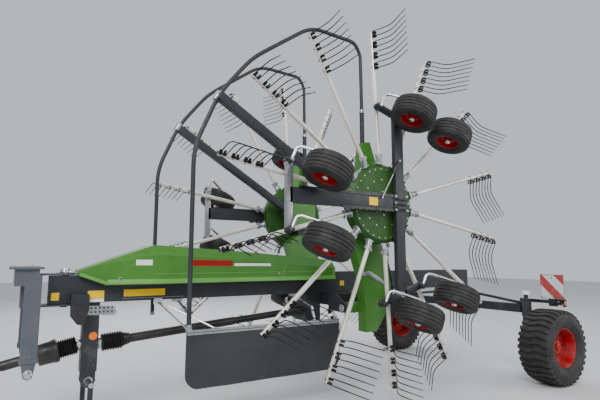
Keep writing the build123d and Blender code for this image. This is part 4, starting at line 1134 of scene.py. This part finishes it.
def make_headstock_trim():
    """Bright hitch pins with collars and spring rings, bolts on the cross beam, and the swivel's cap."""
    pins, cap = gather(2)
    start = Vector((headstock_x, -headstock_half - 0.043, hitch_pin_z))
    end = start + left * 0.097
    tube(pins, [start, end + right * 0.002, end], [0.0186, 0.0186, 0.0165], 28)
    stub(pins, start, left * 0.010, 0.030, 28)
    middle = end + right * 0.020
    ring = [middle + Vector((0.026 * cos(t), 0.004 * sin(t), 0.026 * sin(t))) for t in turns(24)[:23]]
    tube(pins, ring, 0.0022, 8)
    for x in (-2.735, -2.585):
        bolt(pins, (x, -0.365, 1.370), 0.010, 0.009, up)
    add_pair("hitch_pins", pins, "headstock", "bright_steel")
    revolve_along(cap, swivel, up, swivel_cap, 32)
    for point in on_circle(swivel, 0.061, 6, other=right):
        bolt(cap, point, 0.007, 0.006, up)
    add_piece("swivel_cap", cap, "headstock", "bright_steel")


def make_stand_trim():
    """The perforated strip and round reflector on the stand's post, and the pivot's end rings."""
    strip, holes, reflector, collars = gather(4)
    plate(strip, strip_outline, stand_face_y - 0.0003, 0.005)
    for column in range(7):
        for row in range(2):
            hole = (-2.168 + 0.034 * column, stand_face_y - 0.0054, 0.974 + 0.034 * row)
            stub(holes, hole, left * 0.0008, 0.0085, 16)
    centre = Vector((-2.108, stand_face_y, 0.771))
    stub(holes, centre, left * 0.004, 0.0385, 32)
    revolve_along(reflector, centre, left, reflector_lens, 32)
    stub(collars, (stand_x, -0.062, stand_pivot_z), left * 0.014, 0.036, 24)
    stub(collars, (stand_x, -0.2405, stand_pivot_z), left * 0.0075, 0.020)
    for x in (stand_x - 0.055, stand_x + 0.055):
        bolt(collars, (x, -0.220, 0.0101), 0.007, 0.006, up)
    add_piece("stand_strip", strip, "frame", "galvanised")
    add_piece("stand_holes", holes, "frame", "black_plastic")
    add_piece("stand_reflector", reflector, "frame", "lamp")
    add_pair("stand_collars", collars, "stand", "bright_steel")


# Lamps and the rear end: low and high (y, z) corners of the board's frame, and sections as (along, radius)

lens_x, lens_depth = 2.8602, 0.008
board_frame = (
    ((-1.434, 0.961), (-1.146, 0.967)), ((-1.434, 1.243), (-1.146, 1.249)),
    ((-1.434, 0.961), (-1.430, 1.249)), ((-1.150, 0.961), (-1.146, 1.249)),
)
side_marker = [(0.0, 0.026), (0.004, 0.026), (0.007, 0.020), (0.008, 0.008)]
kingpin_cap = [(0, 0.046), (0.030, 0.046), (0.040, 0.038), (0.044, 0.018)]


def make_rear_trim():
    """Ribbed lenses and bolts on the lamp boxes, side markers, board frames and the kingpins' white caps."""
    red, amber, bolts, white, frames = gather(5)
    for bm, low_y, high_y in ((red, -1.414, -1.325), (amber, -1.321, -1.236)):
        box(bm, (lens_x, low_y, 0.880), (lens_x + lens_depth, high_y, 0.953))
    for step in range(6):
        y = -1.410 + 0.029 * step
        bm = red if y < -1.33 else amber
        box(bm, (lens_x + lens_depth, y, 0.884), (lens_x + lens_depth + 0.001, y + 0.012, 0.949))
    for y, z in ((-1.395, 0.895), (-1.350, 0.930), (-1.255, 0.935)):
        bolt(bolts, (2.8122, y, z), 0.009, 0.006, -rear)
    box(white, (2.8085, -1.400, 0.876), (2.8120, -1.345, 0.890))
    revolve_along(amber, (2.830, -1.4205, 0.916), left, side_marker, 28)
    for low, high in board_frame:
        box(frames, (2.7985, *low), (2.8045, *high))
    for z in (1.000, 1.210):
        bolt(bolts, (2.7998, -1.290, z), 0.007, 0.004, -rear)
    revolve_along(white, (2.700, -1.010, 1.0002), up, kingpin_cap, 28)
    add_pair("lamp_red_lenses", red, "frame", "red_lens", bevel=0.0015)
    add_pair("lamp_amber_lenses", amber, "frame", "lamp", bevel=0.0015)
    add_pair("board_frames", frames, "frame", "galvanised")
    add_pair("rear_caps", bolts, "frame", "galvanised")
    add_pair("kingpin_caps", white, "frame", "white_sheet", slot="galvanised")


# Camera, lights and floor: (name, place, aim, size, power) of each light

floor_reach = 30.0
lights = (
    ("key", (-6.5, -7.5, 9.0), (0.2, 0, 1.2), 6.0, 1350),
    ("fill", (7.0, -8.0, 5.0), (0.2, 0, 1.2), 7.0, 450),
    ("rim", (2.0, 9.0, 8.0), (0.2, 0, 1.4), 6.0, 700),
)
camera_place, camera_heading, camera_pitch = (-2.769, -4.544, 1.426), (0.5255, 0.8508), radians(7.3)


def make_stage():
    """A pale floor and backdrop, soft studio light, and the camera where the photographer stood."""
    mesh = bpy.data.meshes.new("floor")
    mesh.from_pydata([(*corner, 0) for corner in centred(2 * floor_reach, 2 * floor_reach)], [], [range(4)])
    shader = Shader("floor")
    colour = shader.blend(shader.patches(1.4, 8, 0.3, 0.7, 0.6), (0.56, 0.56, 0.57), (0.62, 0.62, 0.62))
    mesh.materials.append(shader.finish(colour, (6, 4, 0.6, 0.8), shader.noise(80, 4), 0.1))
    add_object("floor", mesh)

    world = bpy.data.worlds.new("studio")
    bpy.context.scene.world = world
    world.use_nodes = True
    background = world.node_tree.nodes["Background"]
    background.inputs["Color"].default_value = (0.80, 0.84, 0.90, 1)
    background.inputs["Strength"].default_value = 0.80

    for name, place, aim, size, power in lights:
        light = bpy.data.lights.new(name, "AREA")
        light.size = size
        light.energy = power
        lamp = add_object(name, light)
        lamp.location = place
        lamp.rotation_euler = (Vector(aim) - Vector(place)).to_track_quat("-Z", "Y").to_euler()

    lens = bpy.data.cameras.new("camera")
    lens.sensor_width = 36.0
    lens.lens = 28.0
    camera = add_object("camera", lens)
    camera.location = camera_place
    ahead = [part * cos(camera_pitch) for part in camera_heading]
    camera.rotation_euler = Vector((*ahead, sin(camera_pitch))).to_track_quat("-Z", "Y").to_euler()
    bpy.context.scene.camera = camera


make_stage()
dress_frame()
make_arms()
make_tines()
make_hubs()
make_guards()
make_boom_trim()
make_running_gear()
make_castors()
make_drive_shaft()
make_road_wheels()
make_hood_trim()
make_beam_trim()
make_curtain()
make_curtain_fittings()
make_headstock_trim()
make_stand_trim()
make_rear_trim()
